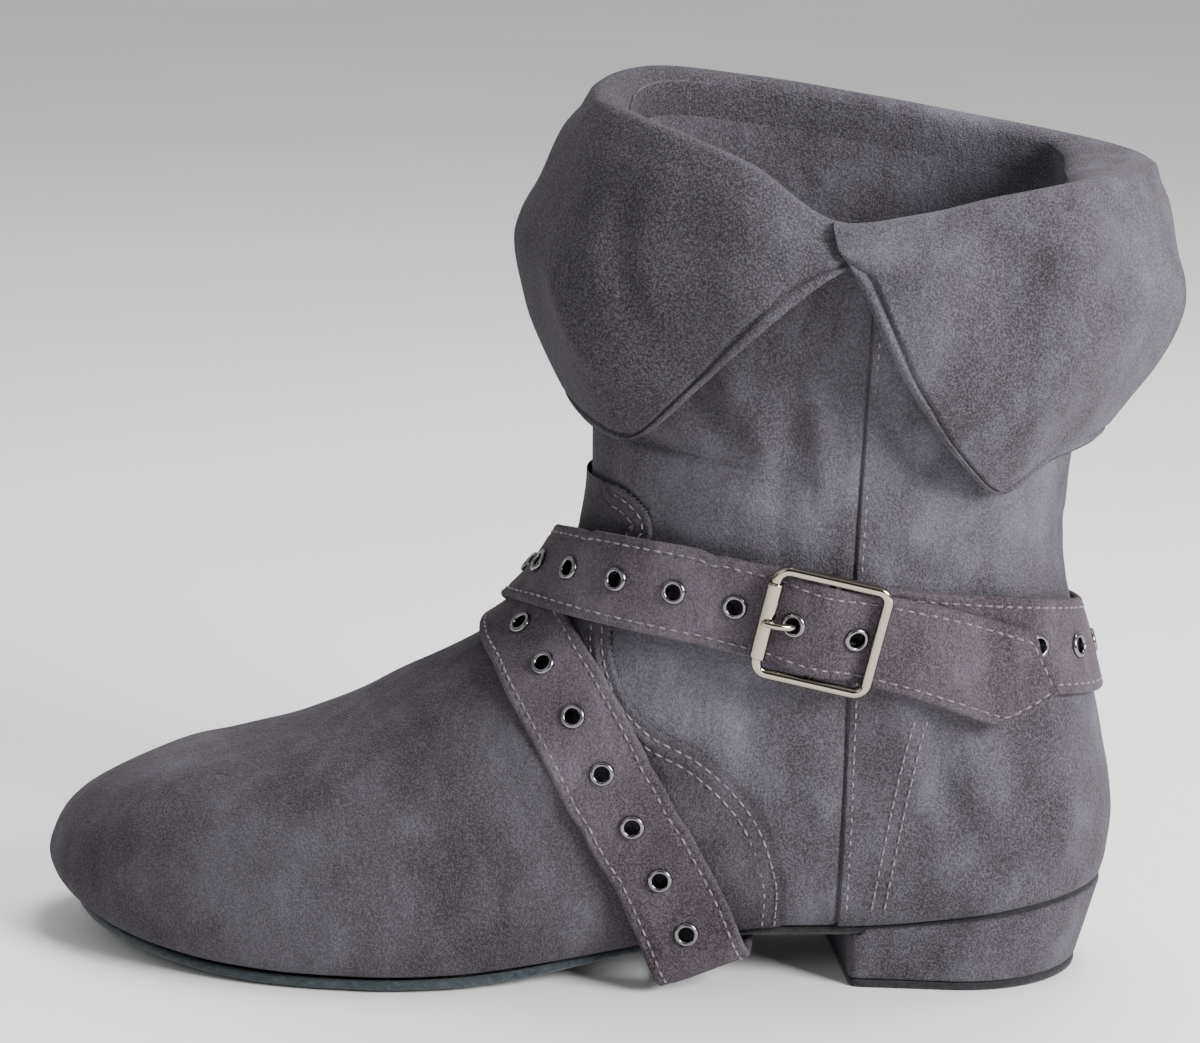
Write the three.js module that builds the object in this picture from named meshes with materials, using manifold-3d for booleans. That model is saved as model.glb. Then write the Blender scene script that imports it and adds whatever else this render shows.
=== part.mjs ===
// Left dance boot of microsuede: turned-down cuff, crossed ankle strap with eyelets, low heel.
// Millimetres, +Z up. The toe points to -X, the heel to +X, the outer side of the foot to -Y.
// Inside the form functions a place is [fore, side, up], with fore measured from the heel back.
import * as THREE from 'three';
import { mergeVertices } from 'three/addons/utils/BufferGeometryUtils.js';
import Module from 'manifold-3d';

const wasm = await Module();
wasm.setup();

// Driving sizes of the last and the shaft
const footLength = 256;
const ballWidth = 86;
const heelWidth = 62;
const waistWidth = 71;
const instepHeight = 105;
const shaftWidth = 84;
const rimHeight = 206.5;
const toeSway = 7;

// Sole, heel and insole
const heelHeight = 20.4;
const toeSpring = 7.8;
const soleThickness = 3;
const waistThickness = 2;
const soleMargin = 0.9;
const liftThickness = 1.8;
const heelTaper = 5.5;
const breastSlant = 9;
const insoleThickness = 2;

// Walls, overlays and the room between pieces
const wall = 1.8;
const seamStep = 0.6;
const vampThickness = 1;
const gap = 0.3;
const soleGap = 0.9;

// Cuff
const cuffDepth = 70;
const cuffFlare = 19;
const cuffThickness = 2.4;
const rollHeight = 3.2;

// Strap, eyelets and buckle
const strapWidth = 22.5;
const strapThickness = 2;
const eyeletPitch = 14.4;
const eyeletRadius = 2.95;
const eyeletHole = 1.75;
const eyeletHeight = 0.55;
const buckleLength = 28;
const buckleBar = 2.2;
const barRadius = 0.8;
const prongRadius = 0.7;
const buckleCorner = 2.6;
const rollerWall = 0.5;

const { cos, sin, abs, PI, min, max, sqrt, acos, hypot } = Math;
const clamp = (x, low, high) => min(high, max(low, x));
const mix = (a, b, t) => a + (b - a) * t;
const ease = (t) => clamp(t, 0, 1) ** 2 * (3 - 2 * clamp(t, 0, 1));
const plus = (a, b, k = 1) => a.map((x, i) => x + b[i] * k);
const dot = (a, b) => a[0] * b[0] + a[1] * b[1] + a[2] * b[2];
const unit = (a) => a.map((x) => x / (sqrt(dot(a, a)) || 1));
const cross = (a, b) => [
  a[1] * b[2] - a[2] * b[1],
  a[2] * b[0] - a[0] * b[2],
  a[0] * b[1] - a[1] * b[0],
];

// A table read at any place of its first column by monotone cubics through its rows
function table(names, rows) {
  const xs = rows.map((row) => row[0]);
  const columns = names.slice(1).map((name, c) => {
    const ys = rows.map((row) => row[c + 1]);
    const slopes = xs.slice(1).map((x, i) => (ys[i + 1] - ys[i]) / (x - xs[i]));
    const tangents = xs.map((x, i) => {
      if (i === 0) return slopes[0];
      if (i === xs.length - 1) return slopes[i - 1];
      if (slopes[i - 1] * slopes[i] <= 0) return 0;
      return 2 / (1 / slopes[i - 1] + 1 / slopes[i]);
    });
    return { name, ys, tangents };
  });
  return (x) => {
    const at = clamp(x, xs[0], xs[xs.length - 1]);
    let i = 0;
    while (i < xs.length - 2 && at > xs[i + 1]) i += 1;
    const span = xs[i + 1] - xs[i];
    const t = (at - xs[i]) / span;
    const read = {};
    for (const { name, ys, tangents } of columns) {
      const rise = ys[i + 1] - ys[i];
      const bow = tangents[i] * span - rise;
      const lean = rise - tangents[i + 1] * span;
      read[name] = ys[i] + rise * t + t * (1 - t) * (bow * (1 - t) + lean * t);
    }
    return read;
  };
}

// Side profile: level runs 0 at the sole, 1 at the instep bend, 2 at the rim; shares of footLength
const profile = table(['level', 'front', 'back'], [
  [0, 0.973, -0.01],
  [0.02, 0.983, -0.0113],
  [0.05, 0.9945, -0.013],
  [0.09, 0.9988, -0.0148],
  [0.14, 0.9947, -0.016],
  [0.2, 0.9855, -0.0172],
  [0.26, 0.968, -0.0176],
  [0.32, 0.939, -0.0165],
  [0.37, 0.905, -0.015],
  [0.42, 0.85, -0.013],
  [0.47, 0.794, -0.01],
  [0.52, 0.738, -0.0068],
  [0.57, 0.697, -0.0037],
  [0.63, 0.657, 0.0012],
  [0.7, 0.603, 0.009],
  [0.77, 0.552, 0.0175],
  [0.85, 0.517, 0.0266],
  [0.93, 0.495, 0.0335],
  [1, 0.482, 0.0366],
  [1.15, 0.4745, 0.0355],
  [1.3, 0.4745, 0.029],
  [1.6, 0.4725, 0.008],
  [2, 0.469, -0.0234],
]);

// Half widths as shares of heelWidth, waistWidth, ballWidth; above the instep of shaftWidth
const girth = table(
  ['level', 'shoulder', 'seat', 'nose', 'heelOut', 'heelIn', 'waistOut', 'waistIn', 'ballOut', 'ballIn'],
  [
    [0, 0.672, 0.12, 2.3, 0.452, 0.452, 0.401, 0.324, 0.494, 0.452],
    [0.04, 0.67, 0.122, 2.3, 0.481, 0.481, 0.437, 0.366, 0.511, 0.472],
    [0.12, 0.66, 0.125, 2.3, 0.5, 0.5, 0.472, 0.415, 0.516, 0.48],
    [0.3, 0.63, 0.13, 2.2, 0.516, 0.516, 0.5, 0.465, 0.5, 0.47],
    [0.45, 0.56, 0.14, 2.1, 0.508, 0.508, 0.5, 0.479, 0.458, 0.44],
    [0.6, 0.41, 0.155, 2, 0.508, 0.508, 0.486, 0.479, 0.434, 0.422],
    [0.78, 0.3, 0.185, 2, 0.532, 0.532, 0.493, 0.486, 0.422, 0.416],
    [1, 0.25, 0.226, 2, 0.589, 0.589, 0.521, 0.521, 0.446, 0.446],
  ],
);
const shaftGirth = table(['level', 'shoulder', 'seat', 'half'], [
  [1, 0.25, 0.226, 0.437],
  [1.5, 0.246, 0.223, 0.468],
  [2, 0.242, 0.22, 0.5],
]);
const heelStation = 0.12;
const waistStation = 0.39;
const ballStation = 0.672;

// Fore place of the two side seams
const seamLine = table(['level', 'fore'], [[0, 0.238], [1, 0.229], [2, 0.215]]);

// Underside of the sole: rise over the floor as shares of heelHeight behind and toeSpring ahead
const soleLine = table(['fore', 'heel', 'toe'], [
  [-0.04, 1.062, 0],
  [0, 1, 0],
  [0.2227, 0.657, 0],
  [0.27, 0.637, 0],
  [0.305, 0.603, 0],
  [0.35, 0.505, 0],
  [0.414, 0.338, 0],
  [0.469, 0.186, 0],
  [0.527, 0.069, 0],
  [0.586, 0.01, 0],
  [0.645, 0, 0],
  [0.734, 0, 0],
  [0.8, 0, 0.064],
  [0.871, 0, 0.282],
  [0.9375, 0, 0.59],
  [1, 0, 1],
]);

// Rim height round the shaft as shares of rimHeight; turn 0 front, 1 outer side, 2 back, 3 inner side
const rimLine = table(['turn', 'up'], [
  [0, 1],
  [0.45, 0.973],
  [0.7, 0.94],
  [0.93, 0.879],
  [1.1, 0.889],
  [1.3, 0.908],
  [1.6, 0.922],
  [2, 0.927],
  [2.4, 0.938],
  [2.7, 0.952],
  [3, 0.973],
  [3.3, 0.996],
  [3.65, 1.013],
  [4, 1],
]);

const soleUnder = (fore) => {
  const row = soleLine(fore / footLength);
  return row.heel * heelHeight + row.toe * toeSpring;
};
const soleDepth = (fore) => mix(waistThickness, soleThickness, ease((fore / footLength - 0.37) / 0.16));
const feather = (fore) => soleUnder(fore) + soleDepth(fore) + soleGap;

function halfWidth(level, fore, side) {
  const share = fore / footLength;
  const outer = side < 0;
  const ends = profile(level);
  const row = level <= 1 ? girth(level) : shaftGirth(level);
  let half = level > 1 ? row.half * shaftWidth : 0;
  if (level <= 1) {
    const heel = (outer ? row.heelOut : row.heelIn) * heelWidth;
    const waist = (outer ? row.waistOut : row.waistIn) * waistWidth;
    const ball = (outer ? row.ballOut : row.ballIn) * ballWidth;
    half = share < waistStation
      ? mix(heel, waist, ease((share - heelStation) / (waistStation - heelStation)))
      : mix(waist, ball, ease((share - waistStation) / (ballStation - waistStation)));
  }
  if (share > row.shoulder) {
    const t = clamp((share - row.shoulder) / (ends.front - row.shoulder), 0, 1);
    half *= sqrt(max(0, 1 - t ** (row.nose ?? 2)));
  }
  if (share < row.seat) {
    const t = clamp((row.seat - share) / (row.seat - ends.back), 0, 1);
    half *= sqrt(max(0, 1 - t * t));
  }
  return half;
}

const sway = (fore) => toeSway * max(0, (fore / footLength - 0.6) / 0.4) ** 2;
const sink = (level) => max(0, 1 - level / 0.66) ** 1.5;
const roundTurn = (turn) => ((turn % 4) + 4) % 4;

// The outside of the boot: turn goes 0 front, 1 outer seam, 2 heel back, 3 inner seam
function form(turn, level) {
  const round = roundTurn(turn);
  const side = round <= 2 ? -1 : 1;
  const away = round <= 2 ? round : 4 - round;
  const ends = profile(level);
  const seam = seamLine(level).fore * footLength;
  const front = ends.front * footLength;
  const back = ends.back * footLength;
  const fore = away <= 1
    ? seam + (front - seam) * cos((away * PI) / 2)
    : seam - (seam - back) * sin(((away - 1) * PI) / 2);
  const up = level <= 1
    ? level * instepHeight + feather(fore) * sink(level)
    : mix(instepHeight, rimLine(round).up * rimHeight, level - 1);
  return [fore, sway(fore) + side * halfWidth(level, fore, side), up];
}

function slopes(turn, level) {
  const step = 1e-3;
  const low = max(0, level - step);
  const high = min(2, level + step);
  const along = plus(form(turn + step, level), form(turn - step, level), -1).map((x) => x / (2 * step));
  const rising = plus(form(turn, high), form(turn, low), -1).map((x) => x / (high - low));
  return { along, rising, normal: unit(cross(rising, along)) };
}

const lifted = (turn, level, lift) => plus(form(turn, level), slopes(turn, level).normal, lift);

// Closed bodies
const newBody = () => ({ points: [], faces: [] });

function addRow(body, row) {
  const start = body.points.length;
  body.points.push(...row);
  return row.map((point, i) => start + i);
}

function joinRows(body, a, b, closed) {
  const last = closed ? a.length : a.length - 1;
  for (let i = 0; i < last; i += 1) {
    const j = (i + 1) % a.length;
    body.faces.push([a[i], a[j], b[j]], [a[i], b[j], b[i]]);
  }
}

// Joins a fine ring to one that keeps only some of its places
function zipRows(body, fine, coarse, kept) {
  let here = 0;
  for (let i = 0; i < fine.length; i += 1) {
    const j = (i + 1) % fine.length;
    body.faces.push([fine[i], fine[j], coarse[here]]);
    const next = kept.indexOf(j);
    if (next >= 0) {
      body.faces.push([fine[j], coarse[next], coarse[here]]);
      here = next;
    }
  }
}

// Closes a ring by strips between places that face each other across it; start is its odd place
function capAcross(body, ring, flip, start) {
  const count = ring.length;
  const at = (i) => ring[(i + count) % count];
  const faces = [];
  for (let i = start; i < count / 2; i += 1) {
    const j = count - 1 + start - i;
    if (i + 1 < j) faces.push([at(i), at(i + 1), at(j)]);
    if (i + 1 < j - 1) faces.push([at(i + 1), at(j - 1), at(j)]);
  }
  if (start) faces.push([at(0), at(1), at(count - 1)]);
  body.faces.push(...faces.map(([a, b, c]) => (flip ? [a, c, b] : [a, b, c])));
}

// Closes a ring by the triangles of its flat outline
function capOutline(body, ring, outline, flip) {
  const contour = outline.map(([x, y]) => new THREE.Vector2(x, y));
  const turned = THREE.ShapeUtils.isClockWise(contour);
  for (const [a, b, c] of THREE.ShapeUtils.triangulateShape(contour, [])) {
    body.faces.push(flip !== turned ? [ring[a], ring[c], ring[b]] : [ring[a], ring[b], ring[c]]);
  }
}

// A block of closed rings, one above the other, capped across at both ends
function stack(rings, start = 0) {
  const body = newBody();
  const ids = rings.map((ring) => addRow(body, ring));
  for (let i = 1; i < ids.length; i += 1) joinRows(body, ids[i - 1], ids[i], true);
  capAcross(body, ids[0], true, start);
  capAcross(body, ids[ids.length - 1], false, start);
  return body;
}

function toGeometry(body) {
  const at = (i) => body.points[i];
  let volume = 0;
  for (const [a, b, c] of body.faces) volume += dot(at(a), cross(at(b), at(c)));
  const geometry = new THREE.BufferGeometry();
  // Fore points to -X, which mirrors the body, so a positive volume needs its faces turned
  const index = body.faces.flatMap(([a, b, c]) => (volume > 0 ? [a, c, b] : [a, b, c]));
  const position = body.points.flatMap(([fore, side, up]) => [-fore, side, up]);
  geometry.setAttribute('position', new THREE.Float32BufferAttribute(position, 3));
  geometry.setIndex(index);
  return geometry;
}

function toManifold(geometry) {
  const bare = geometry.clone();
  bare.deleteAttribute('normal');
  bare.deleteAttribute('uv');
  const merged = mergeVertices(bare, 1e-4);
  return new wasm.Manifold(new wasm.Mesh({
    numProp: 3,
    vertProperties: new Float32Array(merged.attributes.position.array),
    triVerts: new Uint32Array(merged.index.array),
  }));
}

function fromManifold(solid) {
  const mesh = solid.getMesh();
  const geometry = new THREE.BufferGeometry();
  geometry.setAttribute('position', new THREE.Float32BufferAttribute(mesh.vertProperties, 3));
  geometry.setIndex(new THREE.Uint32BufferAttribute(mesh.triVerts, 1));
  return geometry;
}

const boot = new THREE.Group();

function addPart(name, geometry, look) {
  const mesh = new THREE.Mesh(geometry, new THREE.MeshStandardMaterial(look));
  mesh.name = name;
  boot.add(mesh);
}

const suede = { color: '#5d5861', roughness: 0.95, metalness: 0 };
const strapSuede = { color: '#5b5257', roughness: 0.85, metalness: 0 };
const soleSuede = { color: '#3b4246', roughness: 1, metalness: 0 };
const lining = { color: '#77727a', roughness: 0.9, metalness: 0 };
const nickel = { color: '#c9c2b4', roughness: 0.15, metalness: 1 };
const gunmetal = { color: '#8d8b8c', roughness: 0.3, metalness: 1 };

// Upper: one wall from the sole to the rim, open at the rim and underneath
const foreSteps = 14;
const backSteps = 7;
const levels = [
  0, 0.03, 0.07, 0.12, 0.18, 0.25, 0.32, 0.37, 0.41, 0.45, 0.49, 0.53, 0.57,
  0.61, 0.65, 0.7, 0.75, 0.8, 0.86, 0.93, 1, 1.12, 1.3, 1.55, 1.8, 2,
];

const seamPlace = 1.012;

// Places round the boot, closer together towards the side seams than at the toe
function upperTurns() {
  const ahead = Array.from({ length: foreSteps }, (_, i) => {
    const share = i / foreSteps;
    return share * (1.25 - 0.25 * share);
  });
  const behind = Array.from({ length: backSteps }, (_, i) => 1 + i / backSteps);
  const mirror = (turns) => turns.map((turn) => 4 - turn).reverse();
  const mark = (turns, odd) => turns.map((turn, i) => ({ turn, inside: i % 2 === odd }));
  return [
    ...mark([...ahead, 1], 0),
    { turn: seamPlace, inside: false },
    ...mark(behind.slice(1), 1),
    { turn: 2, inside: true },
    ...mark(mirror(behind), 1),
    ...mark(mirror(ahead).slice(0, -1), 1),
  ];
}

// The rear quarter lies over the front one at the outer seam and thins away behind it
const seamLift = (turn) => (turn > 1.005 && turn < 1.5 ? seamStep * (1 - (turn - 1) / 0.5) : 0);

function upperBody() {
  const body = newBody();
  const turns = upperTurns();
  const kept = turns.map(({ inside }, i) => (inside ? i : -1)).filter((i) => i >= 0);
  const outer = levels.map((level) => {
    return addRow(body, turns.map(({ turn }) => lifted(turn, level, seamLift(turn))));
  });
  const innerLevels = levels.filter((level, i) => i % 2 === 0 || i === levels.length - 1);
  const inner = innerLevels.map((level) => {
    return addRow(body, kept.map((i) => lifted(turns[i].turn, level, -wall)));
  });
  for (let i = 1; i < outer.length; i += 1) joinRows(body, outer[i - 1], outer[i], true);
  for (let i = 1; i < inner.length; i += 1) joinRows(body, inner[i], inner[i - 1], true);
  zipRows(body, outer[outer.length - 1], inner[inner.length - 1], kept);
  const foot = newBody();
  zipRows(foot, outer[0], inner[0], kept);
  body.faces.push(...foot.faces.map(([a, b, c]) => [a, c, b]));
  return body;
}
addPart('upper', toGeometry(upperBody()), suede);

// Vamp: a layer over toe and instep, with a tongue tab up the shaft front
const vampEdge = [
  [0.285, -0.2],
  [0.285, 0.15],
  [0.283, 0.24],
  [0.29, 0.33],
  [0.305, 0.42],
  [0.33, 0.5],
  [0.366, 0.57],
  [0.405, 0.62],
  [0.435, 0.7],
  [0.446, 0.8],
  [0.437, 0.92],
  [0.421, 1],
  [0.41, 1.04],
  [0.411, 1.065],
  [0.4155, 1.09],
  [0.425, 1.112],
  [0.439, 1.13],
  [0.46, 1.139],
  [1.2, 1.142],
  [1.2, -0.2],
];

// The layer ends just over the sole
const vampFoot = 0.014;

function vampGeometry() {
  const body = newBody();
  const rows = [vampFoot, ...levels.filter((level) => level > 0 && level <= 1.3)];
  const turns = [];
  const ahead = upperTurns().map(({ turn }) => turn).filter((turn) => turn <= 1);
  turns.push(...ahead.slice(1).map((turn) => -turn).reverse(), ...ahead);
  const top = rows.map((level) => {
    return addRow(body, turns.map((turn) => lifted(turn, level, gap + vampThickness)));
  });
  const under = rows.map((level) => addRow(body, turns.map((turn) => lifted(turn, level, gap))));
  for (let i = 1; i < rows.length; i += 1) {
    joinRows(body, top[i - 1], top[i], false);
    joinRows(body, under[i], under[i - 1], false);
    for (const [a, b] of [[0, 1], [turns.length - 1, -1]]) {
      const lower = b > 0 ? [under[i - 1][a], top[i - 1][a]] : [top[i - 1][a], under[i - 1][a]];
      const upper = b > 0 ? [under[i][a], top[i][a]] : [top[i][a], under[i][a]];
      joinRows(body, lower, upper, false);
    }
  }
  joinRows(body, under[0], top[0], false);
  joinRows(body, top[rows.length - 1], under[rows.length - 1], false);
  const outline = new THREE.Shape(vampEdge.map(([fore, up]) => (
    new THREE.Vector2(-fore * footLength, up * instepHeight)
  )));
  const across = 2 * ballWidth;
  const prism = new THREE.ExtrudeGeometry(outline, { depth: across, bevelEnabled: false });
  prism.rotateX(PI / 2);
  prism.translate(0, across / 2, 0);
  return fromManifold(toManifold(toGeometry(body)).intersect(toManifold(prism)));
}
addPart('vamp', vampGeometry(), suede);

// Sole, heel, top lift and insole: rings round the foot line, each drawn in from it
function footLine(turn, inset) {
  const flat = unit([slopes(turn, 0).normal[0], slopes(turn, 0).normal[1], 0]);
  return plus(form(turn, 0), flat, soleMargin - inset);
}

function soleRing(turns, inset, up) {
  return turns.map((turn) => {
    const [fore, side] = footLine(turn, inset);
    return [fore, side, up(fore)];
  });
}

// The same places as the wall above, in pairs across the foot; the extra seam place is left out
const footTurns = upperTurns().filter(({ turn }) => turn !== seamPlace);
const roundFoot = footTurns.map(({ turn }) => turn);
// The edge of the sole curls up where no heel backs it
const curl = (fore) => 0.27 * soleThickness * ease((fore / footLength - 0.27) / 0.08);

addPart('outsole', toGeometry(stack([
  soleRing(roundFoot, 1.67 * soleThickness, soleUnder),
  soleRing(roundFoot, 0.3 * soleThickness, (fore) => soleUnder(fore) + curl(fore)),
  soleRing(roundFoot, 0, (fore) => soleUnder(fore) + curl(fore) + 0.2 * soleThickness),
  soleRing(roundFoot, 0.07 * soleThickness, (fore) => soleUnder(fore) + soleDepth(fore)),
], 1)), soleSuede);

const insoleInset = soleMargin + wall + 5 * gap;
addPart('insole', toGeometry(stack([
  soleRing(roundFoot, insoleInset, feather),
  soleRing(roundFoot, insoleInset, (fore) => feather(fore) + insoleThickness),
], 1)), lining);

const heelSteps = 16;
const heelInset = 0.7;
const breastFore = 0.2227 * footLength;

function turnAtFore(fore) {
  const seam = seamLine(0).fore * footLength;
  const { front, back } = profile(0);
  if (fore >= seam) return (2 / PI) * acos(clamp((fore - seam) / (front * footLength - seam), 0, 1));
  return 1 + (2 / PI) * Math.asin(clamp((seam - fore) / (seam - back * footLength), 0, 1));
}

const outerBreast = turnAtFore(breastFore);
const innerBreast = 4 - turnAtFore(breastFore + breastSlant);
const roundHeel = Array.from({ length: heelSteps + 1 }, (_, i) => {
  return mix(outerBreast, innerBreast, i / heelSteps);
});

// The heel narrows towards the floor from the back and a little from the sides
function taper([fore, side, up], depth) {
  const back = (breastFore - fore) / breastFore;
  return [fore + depth * heelTaper * clamp(back, 0, 1), side * (1 - 0.05 * depth), up];
}

const heelTop = soleRing(roundHeel, heelInset, (fore) => soleUnder(fore) - gap);
const heelFoot = soleRing(roundHeel, heelInset, () => liftThickness + gap).map((place) => taper(place, 1));
addPart('heel', toGeometry(stack([heelFoot, heelTop])), suede);

const liftTop = soleRing(roundHeel, heelInset, () => liftThickness).map((place) => taper(place, 1));
const liftFoot = liftTop.map(([fore, side]) => [fore, side, 0]);
addPart('heel_lift', toGeometry(stack([liftFoot, liftTop])), soleSuede);

// Cuff: rolls over the rim, stands out from the shaft and ends in two flaps at the outer side
const cuffSteps = 30;
const cuffFall = table(['down', 'out'], [
  [0, 0.11],
  [0.1, 0.42],
  [0.28, 0.72],
  [0.39, 0.93],
  [0.47, 1],
  [0.68, 0.84],
  [0.85, 0.58],
  [1, 0.3],
]);
const cuffDowns = [0.05, 0.14, 0.28, 0.42, 0.56, 0.7, 0.82, 0.92, 1];
const cuffLine = table(['turn', 'depth', 'flare'], [
  [0, 1, 1],
  [0.4, 1, 0.9],
  [0.93, 0.7, 0.7],
  [1.4, 0.97, 0.75],
  [1.6, 0.87, 0.76],
  [2, 0.85, 0.78],
  [3, 0.94, 0.75],
  [4, 1, 1],
]);
const flapEdges = table(['down', 'front', 'rear'], [
  [0, 0.93, 0.94],
  [0.11, 0.928, 0.943],
  [0.2, 0.894, 0.968],
  [0.32, 0.85, 0.998],
  [0.45, 0.809, 1.034],
  [0.58, 0.766, 1.074],
  [0.7, 0.714, 1.13],
  [0.8, 0.65, 1.19],
  [0.91, 0.56, 1.3],
  [0.975, 0.478, 1.395],
  [1, 0.4, 1.47],
]);

// Least room between the cuff's inside and the shaft
const cuffStandoff = cuffThickness / 3;

function cuffOutline(turn) {
  const row = cuffLine(roundTurn(turn));
  const shaftRise = rimLine(roundTurn(turn)).up * rimHeight - instepHeight;
  const out = (down) => cuffFall(down).out * row.flare * cuffFlare + 0.5 * cuffThickness;
  const level = (down) => 2 - (down * row.depth * cuffDepth) / shaftRise;
  const roll = [
    { down: 0, out: cuffStandoff, up: 4 * gap },
    { down: 0, out: -wall, up: 4 * gap },
    { down: 0, out: -0.7 * wall, up: 0.75 * rollHeight },
    { down: 0, out: gap, up: rollHeight },
    { down: 0, out: 1.08 * cuffThickness, up: 0.7 * rollHeight },
  ].map((place) => ({ ...place, level: 2 }));
  const outside = cuffDowns.map((down) => ({ down, out: out(down), up: 0, level: level(down) }));
  const inside = outside.map((place) => ({ ...place, out: max(cuffStandoff, place.out - cuffThickness) }));
  return [...roll, ...outside, ...inside.reverse()];
}

function cuffBody() {
  const body = newBody();
  const rings = [];
  for (let i = 0; i <= cuffSteps; i += 1) {
    const places = cuffOutline(0).map(({ down }, k) => {
      const edge = flapEdges(down);
      const turn = mix(edge.front, edge.rear - 4, i / cuffSteps);
      const { out, up, level } = cuffOutline(turn)[k];
      const { normal } = slopes(turn, level);
      return plus(plus(form(turn, level), unit([normal[0], normal[1], 0]), out), [0, 0, up]);
    });
    rings.push(addRow(body, places));
  }
  for (let i = 1; i < rings.length; i += 1) joinRows(body, rings[i - 1], rings[i], true);
  const flat = (turn) => cuffOutline(turn).map(({ out, up, down }) => [out, up - down * cuffDepth]);
  capOutline(body, rings[0], flat(flapEdges(0).front), true);
  capOutline(body, rings[rings.length - 1], flat(flapEdges(0).rear), false);
  return body;
}
addPart('cuff', toGeometry(cuffBody()), suede);

// Strap: one band with both passes round the ankle, crossed over the instep and led under the arch
const strapNames = ['along', 'turn', 'level', 'lift', 'width'];
const layerLift = gap + vampThickness + 2 * gap;
const ankleRun = [
  [0, 0.968, 0.867, 1.65 * strapThickness, 1],
  [1, 1.02, 0.861, 1.05 * strapThickness, 1],
  [2, 1.1, 0.853, 0.35 * strapThickness, 1],
  [3, 1.3, 0.833, 0.3 * strapThickness, 1],
  [4, 1.6, 0.798, 0.3 * strapThickness, 1],
  [5, 1.83, 0.77, 0.3 * strapThickness, 1],
  [6, 2, 0.752, 0.3 * strapThickness, 1],
  [7, 2.3, 0.742, 0.3 * strapThickness, 1],
  [8, 2.7, 0.745, 0.3 * strapThickness, 1],
  [9, 3.1, 0.757, 0.35 * strapThickness, 1],
  [10, 3.38, 0.77, layerLift, 1],
  [11, 3.75, 0.785, layerLift, 1],
  [12, 4, 0.8, layerLift, 1],
  [13, 4.244, 0.776, layerLift, 1],
  [14, 4.419, 0.73, layerLift, 1],
  [15, 4.59, 0.646, layerLift, 1],
  [16, 4.699, 0.536, layerLift, 1],
  [17, 4.806, 0.397, layerLift, 1],
  [18, 4.847, 0.29, layerLift, 1],
];
const secondLift = layerLift + strapThickness + 2 * gap;
const archRun = [
  [0, -0.847, 0.29, layerLift, 1],
  [1, -0.806, 0.397, layerLift, 1],
  [2, -0.7, 0.536, 1.2 * strapThickness, 1],
  [3, -0.58, 0.64, 1.9 * strapThickness, 1],
  [4, -0.42, 0.73, secondLift, 1],
  [5, -0.25, 0.795, secondLift, 1],
  [6, -0.1, 0.845, secondLift, 1],
  [7, 0.02, 0.875, secondLift, 1],
  [8, 0.13, 0.9, secondLift, 1],
  [9, 0.263, 0.918, secondLift, 1],
  [10, 0.461, 0.931, 2.1 * strapThickness, 1],
  [11, 0.629, 0.927, 1.5 * strapThickness, 1],
  [12, 0.76, 0.909, 1.15 * strapThickness, 1],
  [13, 0.8, 0.902, 1.05 * strapThickness, 1],
  [14, 0.838, 0.895, 1.2 * strapThickness, 1],
  [15, 0.94, 0.873, 3.05 * strapThickness, 1],
  [16, 1.05, 0.85, 1.55 * strapThickness, 1],
  [17, 1.2, 0.82, 1.5 * strapThickness, 1],
  [18, 1.36, 0.773, 1.65 * strapThickness, 1],
  [19, 1.43, 0.749, 1.9 * strapThickness, 1],
  [20, 1.462, 0.738, 1.95 * strapThickness, 1],
  [21, 1.522, 0.719, 2 * strapThickness, 0.54],
  [22, 1.58, 0.702, 2.05 * strapThickness, 0.08],
];

// Stations of a run half a pitch apart, so that each eyelet sits midway between two of them;
// order counts them from the eyelet at the anchor turn, and eyelets follow every odd one
function runStations(rows, anchor, freeEnd) {
  const read = table(strapNames, rows);
  const last = rows[rows.length - 1][0];
  const samples = 40 * last;
  const centre = (at) => {
    const row = read(at);
    return lifted(row.turn, row.level, row.lift);
  };
  const reach = [0];
  let here = centre(0);
  for (let i = 1; i <= samples; i += 1) {
    const next = centre((i * last) / samples);
    reach.push(reach[i - 1] + hypot(...plus(next, here, -1)));
    here = next;
  }
  const way = Math.sign(rows[1][1] - rows[0][1]);
  let mark = 0;
  while (way * (anchor - read((mark * last) / samples).turn) > 0) mark += 1;
  const step = eyeletPitch / 2;
  const first = Math.ceil((0.3 * step - reach[mark]) / step - 0.5);
  const final = Math.floor((reach[samples] - 0.3 * step - reach[mark]) / step - 0.5);
  const wanted = [];
  for (let k = first; k <= final; k += 1) wanted.push({ want: reach[mark] + (k + 0.5) * step, order: k });
  if (freeEnd === 'start') wanted.unshift({ want: 0, order: 0 });
  if (freeEnd === 'finish') wanted.push({ want: reach[samples], order: 0 });
  return wanted.map(({ want, order: counted }) => {
    const order = freeEnd === 'finish' && counted > tailOrder ? 0 : counted;
    let i = 1;
    while (i < samples && reach[i] < want) i += 1;
    const at = ((i - 1 + (want - reach[i - 1]) / (reach[i] - reach[i - 1])) * last) / samples;
    const row = read(at);
    const heading = unit(plus(centre(min(last, at + 0.02)), centre(max(0, at - 0.02)), -1));
    return { row, order, places: acrossStrap(row, heading) };
  });
}

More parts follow.
